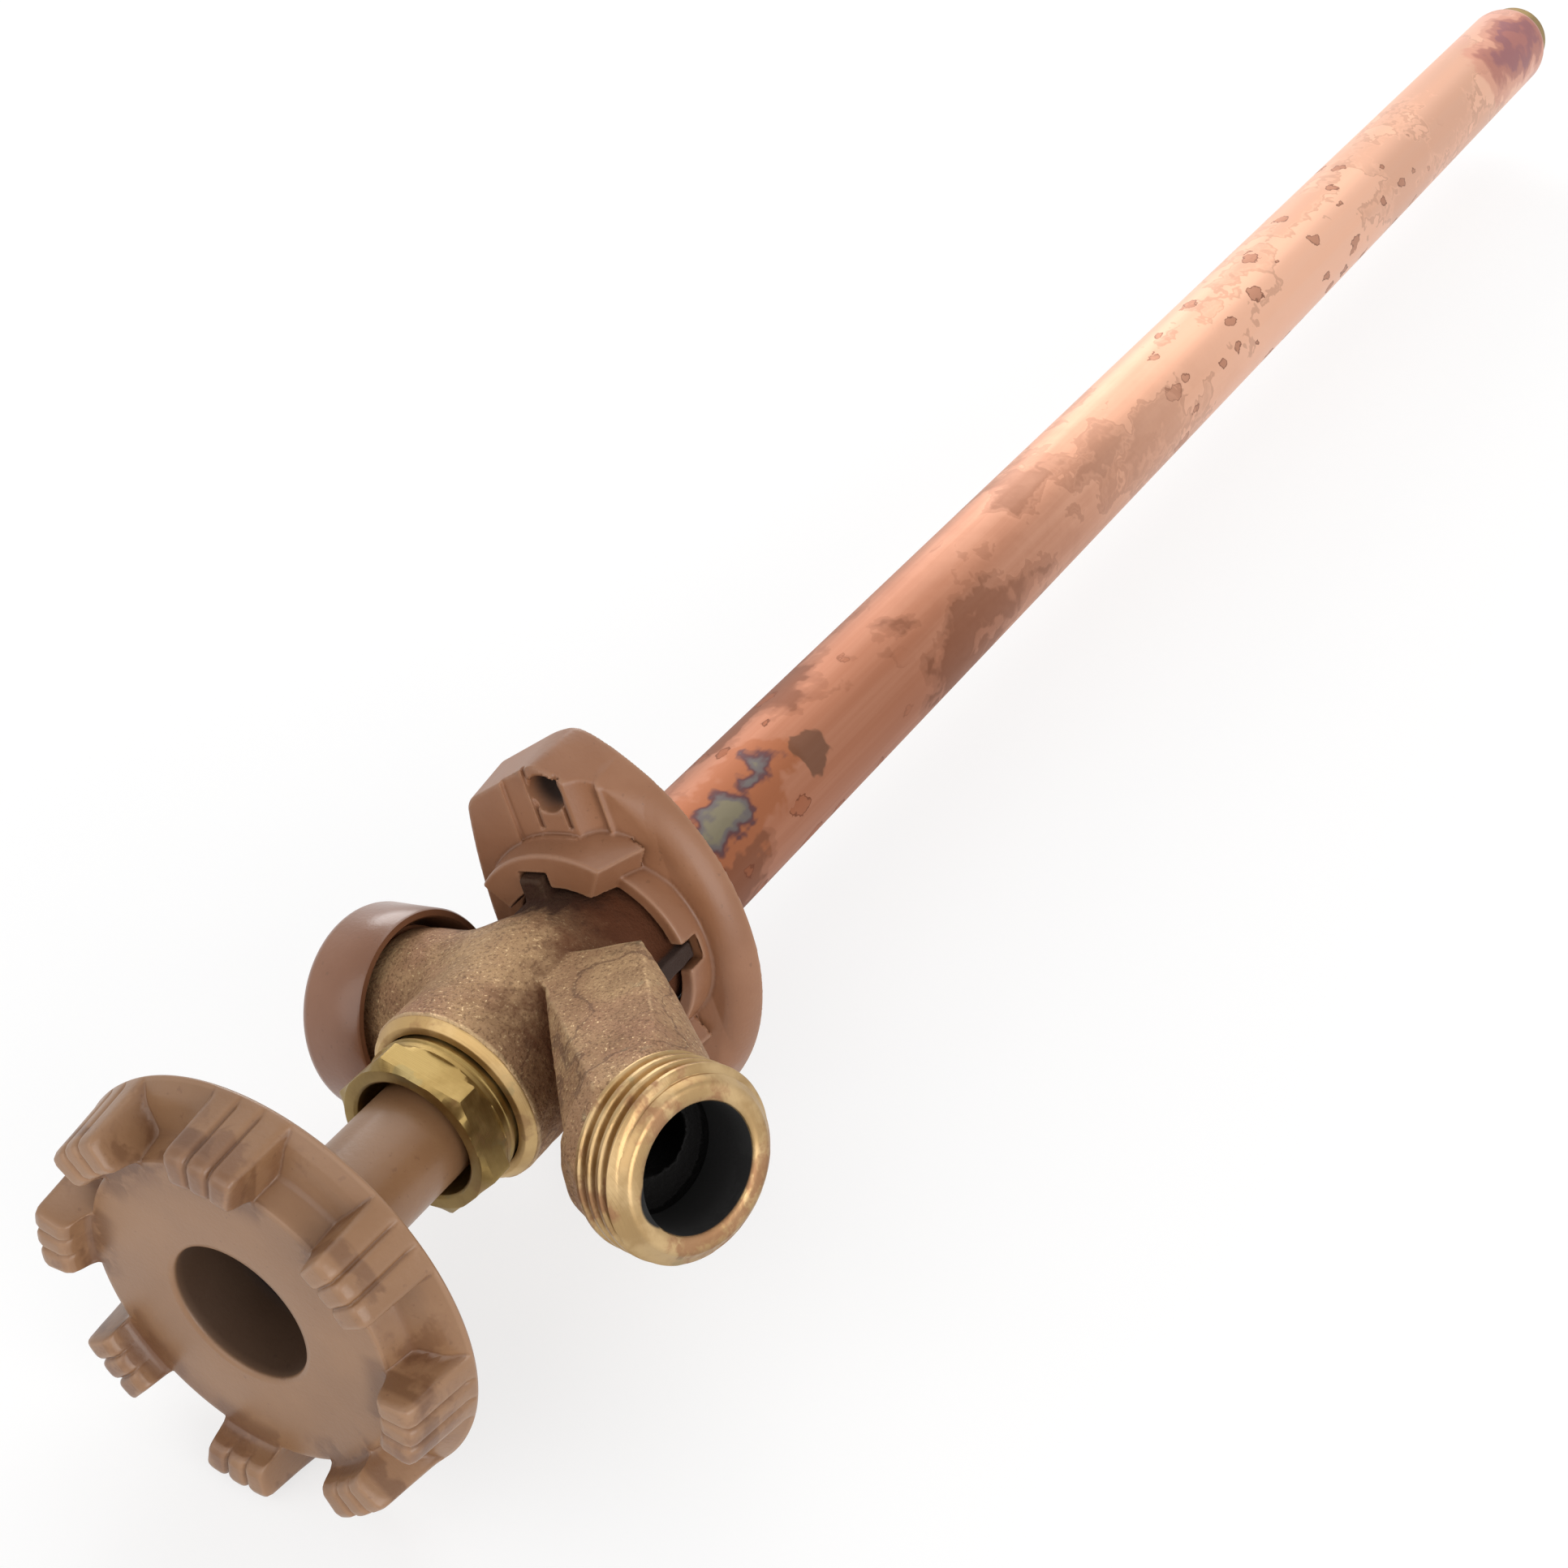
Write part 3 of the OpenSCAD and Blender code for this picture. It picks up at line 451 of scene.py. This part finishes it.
lug[7:19] = [
    [24.6, -93.4], [25.0, -94.2], [25.2, -95.4], [25.3, -96.5], [25.7, -97.2], [26.5, -97.6], [28.0, -97.6],
    [29.6, -97.6], [30.5, -97.3], [30.95, -96.4], [31.45, -92.5], [32.2, -87.2],
]


def softened(points):
    """A profile with each corner cut once, an eighth of the way along its edges, so its bends stay tight."""
    p = np.array(points, float)
    q = np.roll(p, -1, 0)
    return np.stack([0.88 * p + 0.12 * q, 0.12 * p + 0.88 * q], 1).reshape(-1, 2)


gap, lug = softened(gap), softened(lug)
angles = np.linspace(0, 2 * np.pi, 960, endpoint=False)
spacing = 2 * np.pi / LUGS
offset = (angles / spacing) % 1.0 * spacing - spacing / 2
ramp = np.radians(np.interp(gap[:, 0], [24.5, 25.7, 29.7, 32.0], [1.5, 2.0, 1.1, 0.9]))
edge = (BARS * BAR_PITCH / 2 + ramp[None, :] - np.abs(offset)[:, None]) / ramp[None, :]
edge = smin(smax(edge, 0.0, 0.15), 1.0, 0.15)
across = np.clip(np.abs((offset / BAR_PITCH + BARS / 2) % 1.0 - 0.5) * 2, 0, 1)
valley = 1 - np.sqrt(1 - 0.98 * across**4)
valley = np.where(np.abs(offset) < BAR_PITCH, valley, 0.4 * valley)[:, None]
front = np.clip((-94.2 - lug[None, :, 1]) / 2.0, 0, 1)
side = np.clip((lug[None, :, 0] - 28.5) / 2.0, 0, 1) * np.clip((-86.3 - lug[None, :, 1]) / 1.5, 0, 1)
radius = gap[None, :, 0] + edge * (lug - gap)[None, :, 0] - 1.1 * side * edge * valley
height = gap[None, :, 1] + edge * (lug - gap)[None, :, 1] + 1.05 * front * edge * valley
wheel = piece("hand_wheel", turned(radius, height, angles), "handle", "clay_plastic", ["handle_wheel"])

# %% [markdown]
# ## Nut, cap and tube
#
# The nut's radius is the smaller of its turned profile and a hexagon, f/2 / cos(angle from the flat), which
# draws the curved chamfer edges of a real nut by itself.

# %%
nut = crisp([
    [5.1, -49.5], [9.65, -49.5], [9.65, -56.4], [10.1, -56.8], [11.75, -56.8], [13.45, -55.8], [13.45, -52.4],
    [12.2, -51.2], [12.05, -50.9], [12.05, -50.2], [11.8, -50.1], [11.8, -49.7], [11.95, -49.6], [11.95, -49.1],
    [11.5, -48.9], [11.5, -46.1], [10.3, -46.1], [10.3, -39.3], [8.05, -39.3], [8.05, -47.1], [5.1, -47.1],
], 0.12)
angles = np.linspace(0, 2 * np.pi, 360, endpoint=False)
radius, height, _ = sweep(nut, len(angles))
from_flat = (angles - np.radians(2) + np.pi / 3) % (np.pi / 3) - np.pi / 6
hexagon = HEX_FLATS / 2 / np.cos(from_flat)
radius = np.where(height < -51.0, np.minimum(radius, hexagon[:, None]), radius)
nut_piece = piece("gland_nut", turned(radius, height, angles), "housing", "machined_brass", ["packing_nut"], 28)

arc = np.radians(np.linspace(0, 90, 9))
cap = np.concatenate([
    [[11.35, 24.1], [11.35, 26.45], [9.95, 26.45], [9.95, 30.6], [0.01, 30.6], [0.01, 32.4]],
    np.stack([13.9 + 2.2 * np.sin(arc), 30.2 + 2.2 * np.cos(arc)], 1),
    [[15.85, 26.0], [15.55, 20.6], [15.3, 20.25], [14.4, 20.25], [14.1, 20.6], [14.1, 30.6]],
    [[12.75, 30.6], [12.75, 24.1]],
])
verts, quads = turned(*sweep(cap))
cap_piece = piece("vent_cap", (upright(verts), quads), "housing", "clay_gloss", ["breaker_cap"], 45)

curl = np.radians(np.linspace(0, 90, 10))
along = np.linspace(1.2, TUBE_END - TURN_IN - 0.5, 120)
tube = np.concatenate([
    [[9.75, -16.0], [10.55, -16.0], [10.55, 1.0]],
    np.stack([TUBE_R + 0 * along, along], 1),
    np.stack([TUBE_R - 1.4 * (1 - np.cos(curl)), TUBE_END - TURN_IN + TURN_IN * np.sin(curl)], 1),
    [[9.35, TUBE_END - 0.4], [9.5, TUBE_END - 1.6], [10.21, TUBE_END - 4.0], [10.21, 2.0], [9.75, 1.0]],
])
tube_piece = piece("copper_tube", turned(*sweep(tube, 128)), "housing", "copper_tube", ["casing_tube"], 60)

# %% [markdown]
# ## Materials
#
# Shader maths is written as arithmetic. `Sock` wraps a socket, and its one node-making method wires whatever
# it is given.


# %%
class Sock:
    """A shader value that adds, subtracts, multiplies and takes powers like a number."""

    def __init__(self, tree, out):
        self.tree, self.out = tree, out

    def make(self, kind, *inputs, pick=0, **settings):
        """The picked output of a new node, fed with sockets or constants. None leaves an input alone."""
        node = self.tree.nodes.new(kind)
        for key, value in settings.items():
            setattr(node, key, value)
        for target, value in zip(node.inputs, inputs):
            if isinstance(value, Sock):
                self.tree.links.new(value.out, target)
            elif value is not None:
                target.default_value = value
        return Sock(self.tree, node.outputs[pick])

    def op(self, name, *others):
        """One step of a maths node."""
        return self.make("ShaderNodeMath", self, *others, operation=name)

    def __add__(self, other):
        return self.op("ADD", other)

    def __sub__(self, other):
        return self.op("SUBTRACT", other)

    def __rsub__(self, other):
        return self.op("MULTIPLY_ADD", -1.0, other)

    def __mul__(self, other):
        return self.op("MULTIPLY", other)

    def __pow__(self, other):
        return self.op("POWER", other)

    __radd__, __rmul__ = __add__, __mul__

    def step(self, low, high):
        """0 below low, 1 above high, smooth between."""
        return self.make("ShaderNodeMapRange", self, low, high, 0.0, 1.0, interpolation_type="SMOOTHSTEP")

    def blend(self, first, second):
        """Colour first where this value is 0 and second where it is 1."""
        empty = [None] * 5
        return self.make("ShaderNodeMix", self, *empty, first, second, pick=2, data_type="RGBA")

    def noise(self, scale, detail=3.0, rough=0.55):
        """Fractal noise over a vector."""
        return self.make("ShaderNodeTexNoise", self, None, scale, detail, rough)

    def scaled(self, x, y, z):
        """A vector stretched along each axis."""
        return self.make("ShaderNodeVectorMath", self, (x, y, z), operation="MULTIPLY")

    def parts(self):
        """The three coordinates of a vector."""
        split = self.make("ShaderNodeSeparateXYZ", self).out.node
        return [Sock(self.tree, o) for o in split.outputs]

    def warped(self, scale, amount):
        """A place pushed about by noise, which makes outlines ragged."""
        push = self.make("ShaderNodeTexNoise", self, None, scale, 3.0, 0.6, pick=1)
        push = push.make("ShaderNodeVectorMath", push, (0.5, 0.5, 0.5), operation="SUBTRACT")
        return push.make("ShaderNodeVectorMath", push, (amount,) * 3, self, operation="MULTIPLY_ADD")

    def away_from(self, point):
        """Distance of a place from a point given in metres."""
        return self.make("ShaderNodeVectorMath", self, point, operation="DISTANCE", pick=1)

    def bend(self):
        """How sharply the surface turns, from the mesh's own attribute."""
        return self.make("ShaderNodeAttribute", attribute_name="bend", pick=2)

    def drops(self, scale, share, size):
        """Scattered round spots on a plane: how far inside one a place is, in cells, negative outside."""
        cell = self.make("ShaderNodeTexVoronoi", self, None, scale, voronoi_dimensions="2D")
        chance = Sock(self.tree, cell.out.node.outputs["Color"]).parts()
        return chance[0].step(1 - share - 0.02, 1 - share) * (chance[1] * size + 0.4 * size) - cell


def rgb(red, green, blue):
    """A linear colour from sRGB values out of 255."""
    c = np.array([red, green, blue]) / 255.0
    return (*np.where(c <= 0.04045, c / 12.92, ((c + 0.055) / 1.055) ** 2.4), 1.0)


def material(name):
    """A new material with its principled shader and object coordinates."""
    made = bpy.data.materials.new(name)
    made.use_nodes = True
    tree = made.node_tree
    shader = next(n for n in tree.nodes if n.type == "BSDF_PRINCIPLED")
    place = Sock(tree, tree.nodes.new("ShaderNodeTexCoord").outputs["Object"])
    return made, shader, place


def feed(shader, **inputs):
    """Sets or wires inputs of a shader by name, with spaces written as underscores."""
    tree = shader.id_data
    for key, value in inputs.items():
        target = shader.inputs[key.replace("_", " ")]
        if isinstance(value, Sock):
            tree.links.new(value.out, target)
        else:
            target.default_value = value


def bump(height, strength, distance):
    """A normal tilted by a height."""
    return height.make("ShaderNodeBump", strength, distance, None, height)


def ringed(colour, depths, width, share, rings):
    """A colour with tints laid over it where a value rises past each depth, as the rings of a tarnish lie."""
    for depth, tint in rings:
        colour = (depths.step(depth, depth + width) * share).blend(colour, rgb(*tint))
    return colour


def clay(name, first, second, roughness, coat):
    """Moulded clay-brown plastic: mottled, grime on the face, darker lug roots, painted highlights on edges,
    painted shade in creases, holes and the recess, and a faint orange-peel skin.
    """
    made, shader, place = material(name)
    cloud = place.noise(60.0, 4.0).step(0.35, 0.7)
    speck = place.noise(900.0, 2.0).step(0.66, 0.74)
    colour = cloud.blend(first, second)
    colour = (speck * 0.4).blend(colour, rgb(110, 76, 54))
    x, y, z = [v * 1000.0 for v in place.parts()]
    from_axis = (x * x + z * z) ** 0.5
    recess = from_axis.step(11.1, 10.6) * y.step(-80.5, -81.2) * y.step(-93.3, -92.4)
    off = x.op("ABSOLUTE") - HOLE_X
    hole = ((off * off + z * z) ** 0.5).step(HOLE_R + 0.2, HOLE_R - 0.05) * y.step(-8.6, -5.0)
    grime = place.warped(200.0, 0.006).noise(90.0, 4.0, 0.6).step(0.52, 0.62) * from_axis.step(18.0, 24.0)
    colour = (grime * y.step(-86.0, -89.0) * 0.6).blend(colour, rgb(106, 70, 46))
    # Darker at the lug roots, where the face meets each lug.
    turn = (z.op("ARCTAN2", x) * (LUGS / (2 * np.pi))).op("FRACT")
    near_lug = (turn - 0.5).op("ABSOLUTE").step(0.40, 0.28)
    root = near_lug * from_axis.step(19.5, 22.5) * y.step(-92.4, -93.0) * y.step(-96.0, -95.0)
    root = root * place.warped(300.0, 0.004).noise(120.0, 3.0).step(0.44, 0.52)
    colour = (root * 0.6).blend(colour, rgb(98, 64, 40))
    # Painted highlight on convex edges and painted shade in concave creases, taken from the mesh's bend.
    bend = place.bend()
    colour = (bend.step(0.15, 0.8) * 0.16).blend(colour, rgb(184, 148, 120))
    colour = (bend.step(-0.08, -0.6) * 0.45).blend(colour, rgb(98, 62, 40))
    # Painted shade in the handle's recess and the flange's screw holes: both are turned very dark.
    recess_shade = recess.op("MAXIMUM", hole)
    colour = recess_shade.blend(colour, rgb(32, 16, 9))
    feed(shader, Base_Color=colour, Roughness=cloud * 0.08 + roughness + recess_shade * 0.4)
    feed(shader, Coat_Weight=(1.0 - recess_shade) * coat, Coat_Roughness=0.2)
    feed(shader, Specular_IOR_Level=0.4, Normal=bump(place.noise(1400.0, 2.0), 0.10, 0.0004))
    return made


def bore_shade_mask(place):
    """Where shade is painted: 1 in the nozzle's bore and the water passage, by the distance from their axes."""
    x, y, z = [v * 1000.0 for v in place.parts()]
    _, u, w = nozzle_frame(x, y, z)
    bore = ((x * x + u * u) ** 0.5).step(MOUTH_R + 0.6, MOUTH_R + 0.3)
    bore = bore * w.step(0.3, 0.6) * w.step(17.0, 16.0)
    return bore.op("MAXIMUM", passage_frame(x, y, z)[0].step(5.4, 5.0))


def bronze():
    """Sand-cast skin: grainy, rosy and golden by turns, darker by the flange with patina and painted shade,
    painted shade on darker skin under the arm, on the rib's tip and in the bore.
    """
    made, shader, place = material("sand_cast_bronze")
    x, y, z = place.parts()
    grain = place.noise(1900.0, 2.0, 0.6)
    lump = place.noise(420.0, 3.0)
    cloud = place.noise(80.0, 4.0, 0.6).step(0.38, 0.62)
    colour = cloud.blend(rgb(148, 114, 84), rgb(170, 138, 102))
    rosy = place.noise(55.0, 3.0).step(0.48, 0.62)
    colour = (rosy * 0.45).blend(colour, rgb(152, 112, 88))
    ragged = place.warped(160.0, 0.006)
    stain = ragged.noise(70.0, 1.0)
    colour = (stain.step(0.61, 0.64) * 0.25).blend(colour, rgb(112, 82, 58))
    seam = stain.step(0.485, 0.495) * stain.step(0.512, 0.502) * z.step(-0.008, -0.014)
    colour = (seam * 0.6).blend(colour, rgb(96, 68, 52))
    green = ragged.noise(130.0, 2.0).step(0.64, 0.70) * z.step(-0.022, -0.034)
    colour = (green * 0.45).blend(colour, rgb(112, 122, 98))
    colour = (grain.step(0.46, 0.36) * 0.5).blend(colour, rgb(88, 60, 42))
    bend = place.bend() + (lump - 0.5) * 0.6
    colour = (bend.step(-0.12, -0.5) * 0.5).blend(colour, rgb(84, 54, 36))
    shine = grain.step(0.62, 0.70).op("MAXIMUM", bend.step(0.25, 0.6) * 0.7)
    colour = (shine * 0.8).blend(colour, rgb(206, 178, 136))
    wander = (lump - 0.5) * 0.012 + (cloud - 0.5) * 0.004
    # Darker by the flange: partly patina, partly painted shade from the flange.
    neck = (y + wander).step(-0.024, -0.017)
    rho = (x * x + z * z).op("SQRT")
    # Painted shade under the arm by the barrel, over darker cast skin.
    arm_shade_and_skin = (y + wander).step(-0.049, -0.039) * (z + wander).step(-0.003, -0.012) * rho.step(0.0156, 0.0148)
    colour = (neck * 0.94).blend(colour, rgb(46, 21, 13))
    colour = (arm_shade_and_skin * 0.75).blend(colour, rgb(90, 50, 28))
    # Painted shade on the rib's tip, where it sits in the flange's slot.
    rib_tip_shade = z.step(-0.0135, -0.0145) * y.step(-0.022, -0.018)
    colour = rib_tip_shade.blend(colour, rgb(58, 44, 38))
    # Painted shade in the bore and the water passage.
    bore = bore_shade_mask(place)
    colour = bore.blend(colour, rgb(9, 7, 6))
    dull = neck.op("MAXIMUM", arm_shade_and_skin).op("MAXIMUM", bore)
    feed(shader, Base_Color=colour, Metallic=(shine * 0.3 + 0.45) * (1.0 - dull * 0.9), Specular_IOR_Level=0.2)
    feed(shader, Roughness=0.62 - shine * 0.2 + dull * 0.2, Normal=bump(grain * 0.5 + lump, 0.6, 0.0007))
    return made


def brass(name, first, second, roughness, stain):
    """Turned brass: tool marks round the axis, a rosy stain, a little green, and painted shade that makes the
    bore black.
    """
    made, shader, place = material(name)
    cloud = place.noise(160.0, 4.0, 0.6).step(0.4, 0.65)
    marks = place.scaled(60.0, 6000.0, 60.0).noise(1.0, 2.0)
    colour = cloud.blend(first, second)
    ragged = place.warped(300.0, 0.004)
    patch = ragged.noise(110.0, 4.0, 0.65).step(0.54, 0.66)
    colour = (patch * stain).blend(colour, rgb(140, 98, 72))
    green = ragged.noise(150.0, 2.0).step(0.66, 0.72) * stain
    colour = (green * 0.6).blend(colour, rgb(118, 128, 104))
    # Painted shade in the bore and the water passage.
    bore = bore_shade_mask(place)
    colour = bore.blend(colour, rgb(9, 7, 6))
    dull = (patch + green) * stain * 0.25
    feed(shader, Base_Color=colour, Metallic=0.95 - bore * 0.95)
    feed(shader, Roughness=cloud * 0.10 + roughness + dull + bore * 0.5, Normal=bump(marks, 0.12, 0.0003))
    return made


def copper():
    """Drawn copper: brown and blotched near the wall, bright farther on, with dried drops and a heat tint."""
    made, shader, place = material("stained_copper")
    x, y, z = place.parts()
    streak = place.scaled(260.0, 5.0, 260.0).noise(1.0, 4.0, 0.6).step(0.35, 0.68)
    ragged = place.warped(120.0, 0.010)
    cloud = ragged.scaled(1.0, 0.45, 1.0).noise(45.0, 4.0, 0.6)
    bright = (y + (cloud - 0.5) * 0.12).step(0.06, 0.24)
    colour = bright.blend(rgb(156, 102, 76), rgb(230, 176, 146))
    # Lighter streaks along the tube: partly drawing lines, partly painted reflection streaks.
    colour = (streak * (bright * 0.25 + 0.12)).blend(colour, rgb(228, 180, 154))
    brown = cloud.step(0.50, 0.56) * (1.0 - bright * 0.75)
    colour = (brown * 0.75).blend(colour, rgb(112, 66, 44))
    edge = cloud.step(0.49, 0.50) * cloud.step(0.53, 0.51)
    colour = (edge * 0.3).blend(colour, rgb(128, 78, 54))
    rolled = place.make("ShaderNodeCombineXYZ", z.op("ARCTAN2", x) * TUBE_R * MM, y * 0.6)
    spot = rolled.warped(300.0, 0.005).drops(130.0, 0.6, 0.19)
    crowd = (y.step(0.17, 0.21) * y.step(0.37, 0.32)).op("MAXIMUM", y.step(0.08, 0.05))
    inside = spot.step(0.0, 0.03) * crowd
    colour = (inside * 0.6).blend(colour, rgb(146, 86, 58))
    colour = (inside * spot.step(0.07, 0.02) * 0.8).blend(colour, rgb(98, 54, 36))
    drift = place.warped(110.0, 0.014).scaled(1.0, 0.55, 1.0)
    tarnish = 0.0078 - drift.away_from((0.0072, 0.0104, -0.0084))
    tarnish = tarnish.op("SMOOTH_MAX", 0.0052 - drift.away_from((0.0088, 0.0170, -0.0066)), 0.001)
    colour = ringed(colour, tarnish + (streak - 0.5) * 0.0012, 0.0013, 1.0, (
        (-0.001, (150, 92, 62)), (0.0018, (88, 56, 58)), (0.0027, (100, 92, 90)), (0.0040, (118, 110, 90)),
    ))
    blot = 0.0046 - ragged.away_from((0.0055, 0.042, -0.0096))
    colour = (blot.step(0.0, 0.0008) * 0.7).blend(colour, rgb(84, 58, 44))
    heat = (y + (cloud - 0.5) * 0.06).step(0.41, 0.44) * 0.3
    colour = heat.blend(colour, rgb(214, 150, 146))
    swept = place.warped(70.0, 0.024).scaled(1.0, 0.30, 1.0)
    colour = ringed(colour, 0.011 - swept.away_from((0.0050, 0.1295, -0.0095)), 0.0015, 0.75, (
        (0.0, (206, 142, 118)), (0.0025, (166, 98, 86)), (0.0045, (142, 84, 92)), (0.0070, (176, 108, 96)),
    ))
    dull = inside.op("MAXIMUM", brown * 0.6)
    feed(shader, Base_Color=colour, Metallic=0.85, Roughness=0.55 - bright * 0.18 + dull * 0.10)
    feed(shader, Normal=bump(streak, 0.05, 0.0004))
    return made


def plain(name, colour, metallic, roughness):
    """One colour, a little darker in places, for the pieces inside."""
    made, shader, place = material(name)
    darker = (*(0.9 * c for c in colour[:3]), 1.0)
    feed(shader, Base_Color=place.noise(300.0).step(0.3, 0.7).blend(colour, darker))
    feed(shader, Metallic=metallic, Roughness=roughness)
    return made


satin_clay = clay("satin_clay", rgb(133, 97, 67), rgb(143, 107, 77), 0.36, 0.15)
flange_clay = clay("flange_clay", rgb(138, 94, 66), rgb(148, 104, 76), 0.40, 0.08)
gloss_clay = clay("gloss_clay", rgb(132, 88, 62), rgb(142, 98, 72), 0.28, 0.3)
cast = bronze()
turned_brass = brass("turned_brass", rgb(136, 112, 66), rgb(158, 134, 84), 0.40, 0.3)
nozzle_brass = brass("nozzle_brass", rgb(168, 138, 96), rgb(188, 160, 118), 0.34, 0.7)
ring_brass = brass("ring_brass", rgb(186, 154, 104), rgb(204, 174, 124), 0.45, 0.4)
stained_copper = copper()
looks = {
    "clay_plastic": satin_clay,
    "clay_gloss": gloss_clay,
    "cast_bronze": cast,
    "copper_tube": stained_copper,
    "machined_brass": turned_brass,
    "black_rubber": plain("black_rubber", rgb(38, 36, 35), 0.0, 0.6),
    "red_fibre": plain("red_fibre", rgb(128, 60, 46), 0.0, 0.8),
    "white_nylon": plain("white_nylon", rgb(222, 218, 206), 0.0, 0.45),
    "plated_steel": plain("plated_steel", rgb(176, 176, 178), 0.9, 0.32),
}
for obj in (cast_body, face_ring, nozzle_end, wall_flange, wheel, nut_piece, cap_piece, tube_piece):
    obj.data.materials.append(looks[obj["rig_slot"]])
for obj, own in ((face_ring, ring_brass), (nozzle_end, nozzle_brass), (wall_flange, flange_clay)):
    obj.data.materials[0] = own
for entry in frame["record"]["subparts"]:
    slots = frame["nodes"][entry["node"]].data.materials
    for i in range(len(slots)):
        slots[i] = looks[entry["material_slot"]]

# %% [markdown]
# ## Stage, light and camera
#
# The part lies on its side as in the picture: the floor touches the handle's rim and the flange, and its
# normal leans towards the camera. It is clear from behind, so that it hides nothing in a view from below, and
# the eye sees most of it as plain white, which keeps the shadow faint.



# %%
def looked_at(tree):
    """1 for rays from the camera, and for those it sends on through a mirror or through glass."""
    path = tree.nodes.new("ShaderNodeLightPath")
    straight, glossy, through = [
        Sock(tree, path.outputs[name]) for name in ("Is Camera Ray", "Is Glossy Ray", "Is Transmission Ray")
    ]
    return straight.op("MAXIMUM", glossy).op("MAXIMUM", through)


up = np.array([0.946, 0.0, -0.327])
up = up / np.linalg.norm(up)
ahead = np.array([0.0, 1.0, 0.0])
across = np.cross(ahead, up)
floor_mesh = bpy.data.meshes.new("floor")
centre = up * -0.0326 + ahead * 0.2
corners = [centre + 1.6 * (i * ahead + j * across) for i, j in ((-1, -1), (-1, 1), (1, 1), (1, -1))]
floor_mesh.from_pydata([tuple(c) for c in corners], [], [(0, 1, 2, 3)])
floor = bpy.data.objects.new("floor", floor_mesh)
bpy.context.scene.collection.objects.link(floor)
if np.dot(np.array(floor_mesh.polygons[0].normal), up) < 0:
    floor_mesh.flip_normals()
floor_look, floor_shader, _ = material("floor")
feed(floor_shader, Base_Color=(1.0, 1.0, 1.0, 1.0), Roughness=0.9)
floor_tree = floor_look.node_tree
facing = Sock(floor_tree, floor_tree.nodes.new("ShaderNodeNewGeometry").outputs["Backfacing"])
clear = facing.make("ShaderNodeBsdfTransparent")
solid = Sock(floor_tree, floor_shader.outputs[0])
viewed = looked_at(floor_tree)
white = facing.make("ShaderNodeEmission", (1.0, 1.0, 1.0, 1.0), 1.0)
solid = facing.make("ShaderNodeMixShader", viewed * 0.7, solid, white)
shown = facing.make("ShaderNodeMixShader", facing, solid, clear)
floor_out = next(n for n in floor_tree.nodes if n.type == "OUTPUT_MATERIAL")
floor_tree.links.new(shown.out, floor_out.inputs[0])
floor_mesh.materials.append(floor_look)

world = bpy.data.worlds.new("studio")
bpy.context.scene.world = world
world.use_nodes = True
tree = world.node_tree
background = next(n for n in tree.nodes if n.type == "BACKGROUND")
background.inputs[0].default_value = (1.0, 1.0, 1.0, 1.0)
tree.links.new((looked_at(tree) * 0.6 + 0.4).out, background.inputs[1])


def lamp(name, aim, offset, size, power):
    """A soft area light at offset = (towards up, along the tube, across) from its aim, in metres."""
    data = bpy.data.lights.new(name, "AREA")
    data.shape, data.size, data.energy = "DISK", size, power
    obj = bpy.data.objects.new(name, data)
    at = aim + offset[0] * up + offset[1] * ahead + offset[2] * across
    z = (at - aim) / np.linalg.norm(at - aim)
    x = np.cross(ahead, z) / np.linalg.norm(np.cross(ahead, z))
    obj.matrix_world = placed(x, np.cross(z, x), z, at)
    bpy.context.scene.collection.objects.link(obj)


head = np.array([0.0, -0.05, 0.0])
lamp("key", head, (0.7, -0.95, -0.2), 1.4, 6.0)
lamp("fill", head, (0.45, -0.5, 1.25), 1.2, 12.0)
lamp("far", np.array([0.0, 0.35, 0.0]), (1.0, 0.5, -0.2), 1.3, 5.5)
lamp("streak", head, (0.5, 0.9, -0.75), 0.6, 4.0)

camera = bpy.data.cameras.new("camera")
camera.sensor_width, camera.lens = 36.0, 56.330
camera.clip_start = 0.01
viewer = bpy.data.objects.new("camera", camera)
right = np.array([-0.282537, 0.504428, -0.815920])
above = np.array([0.860819, 0.508647, 0.016377])
away = np.array([0.423276, -0.697732, -0.577933])
eye = np.array([0.171785, -0.242701, -0.237537])
viewer.matrix_world = placed(right, above, away, eye)
bpy.context.scene.collection.objects.link(viewer)
bpy.context.scene.camera = viewer
bpy.context.scene.view_settings.view_transform = "Standard"

# %% [markdown]
# ## Last update of the scene

# %%
bpy.context.view_layer.update()
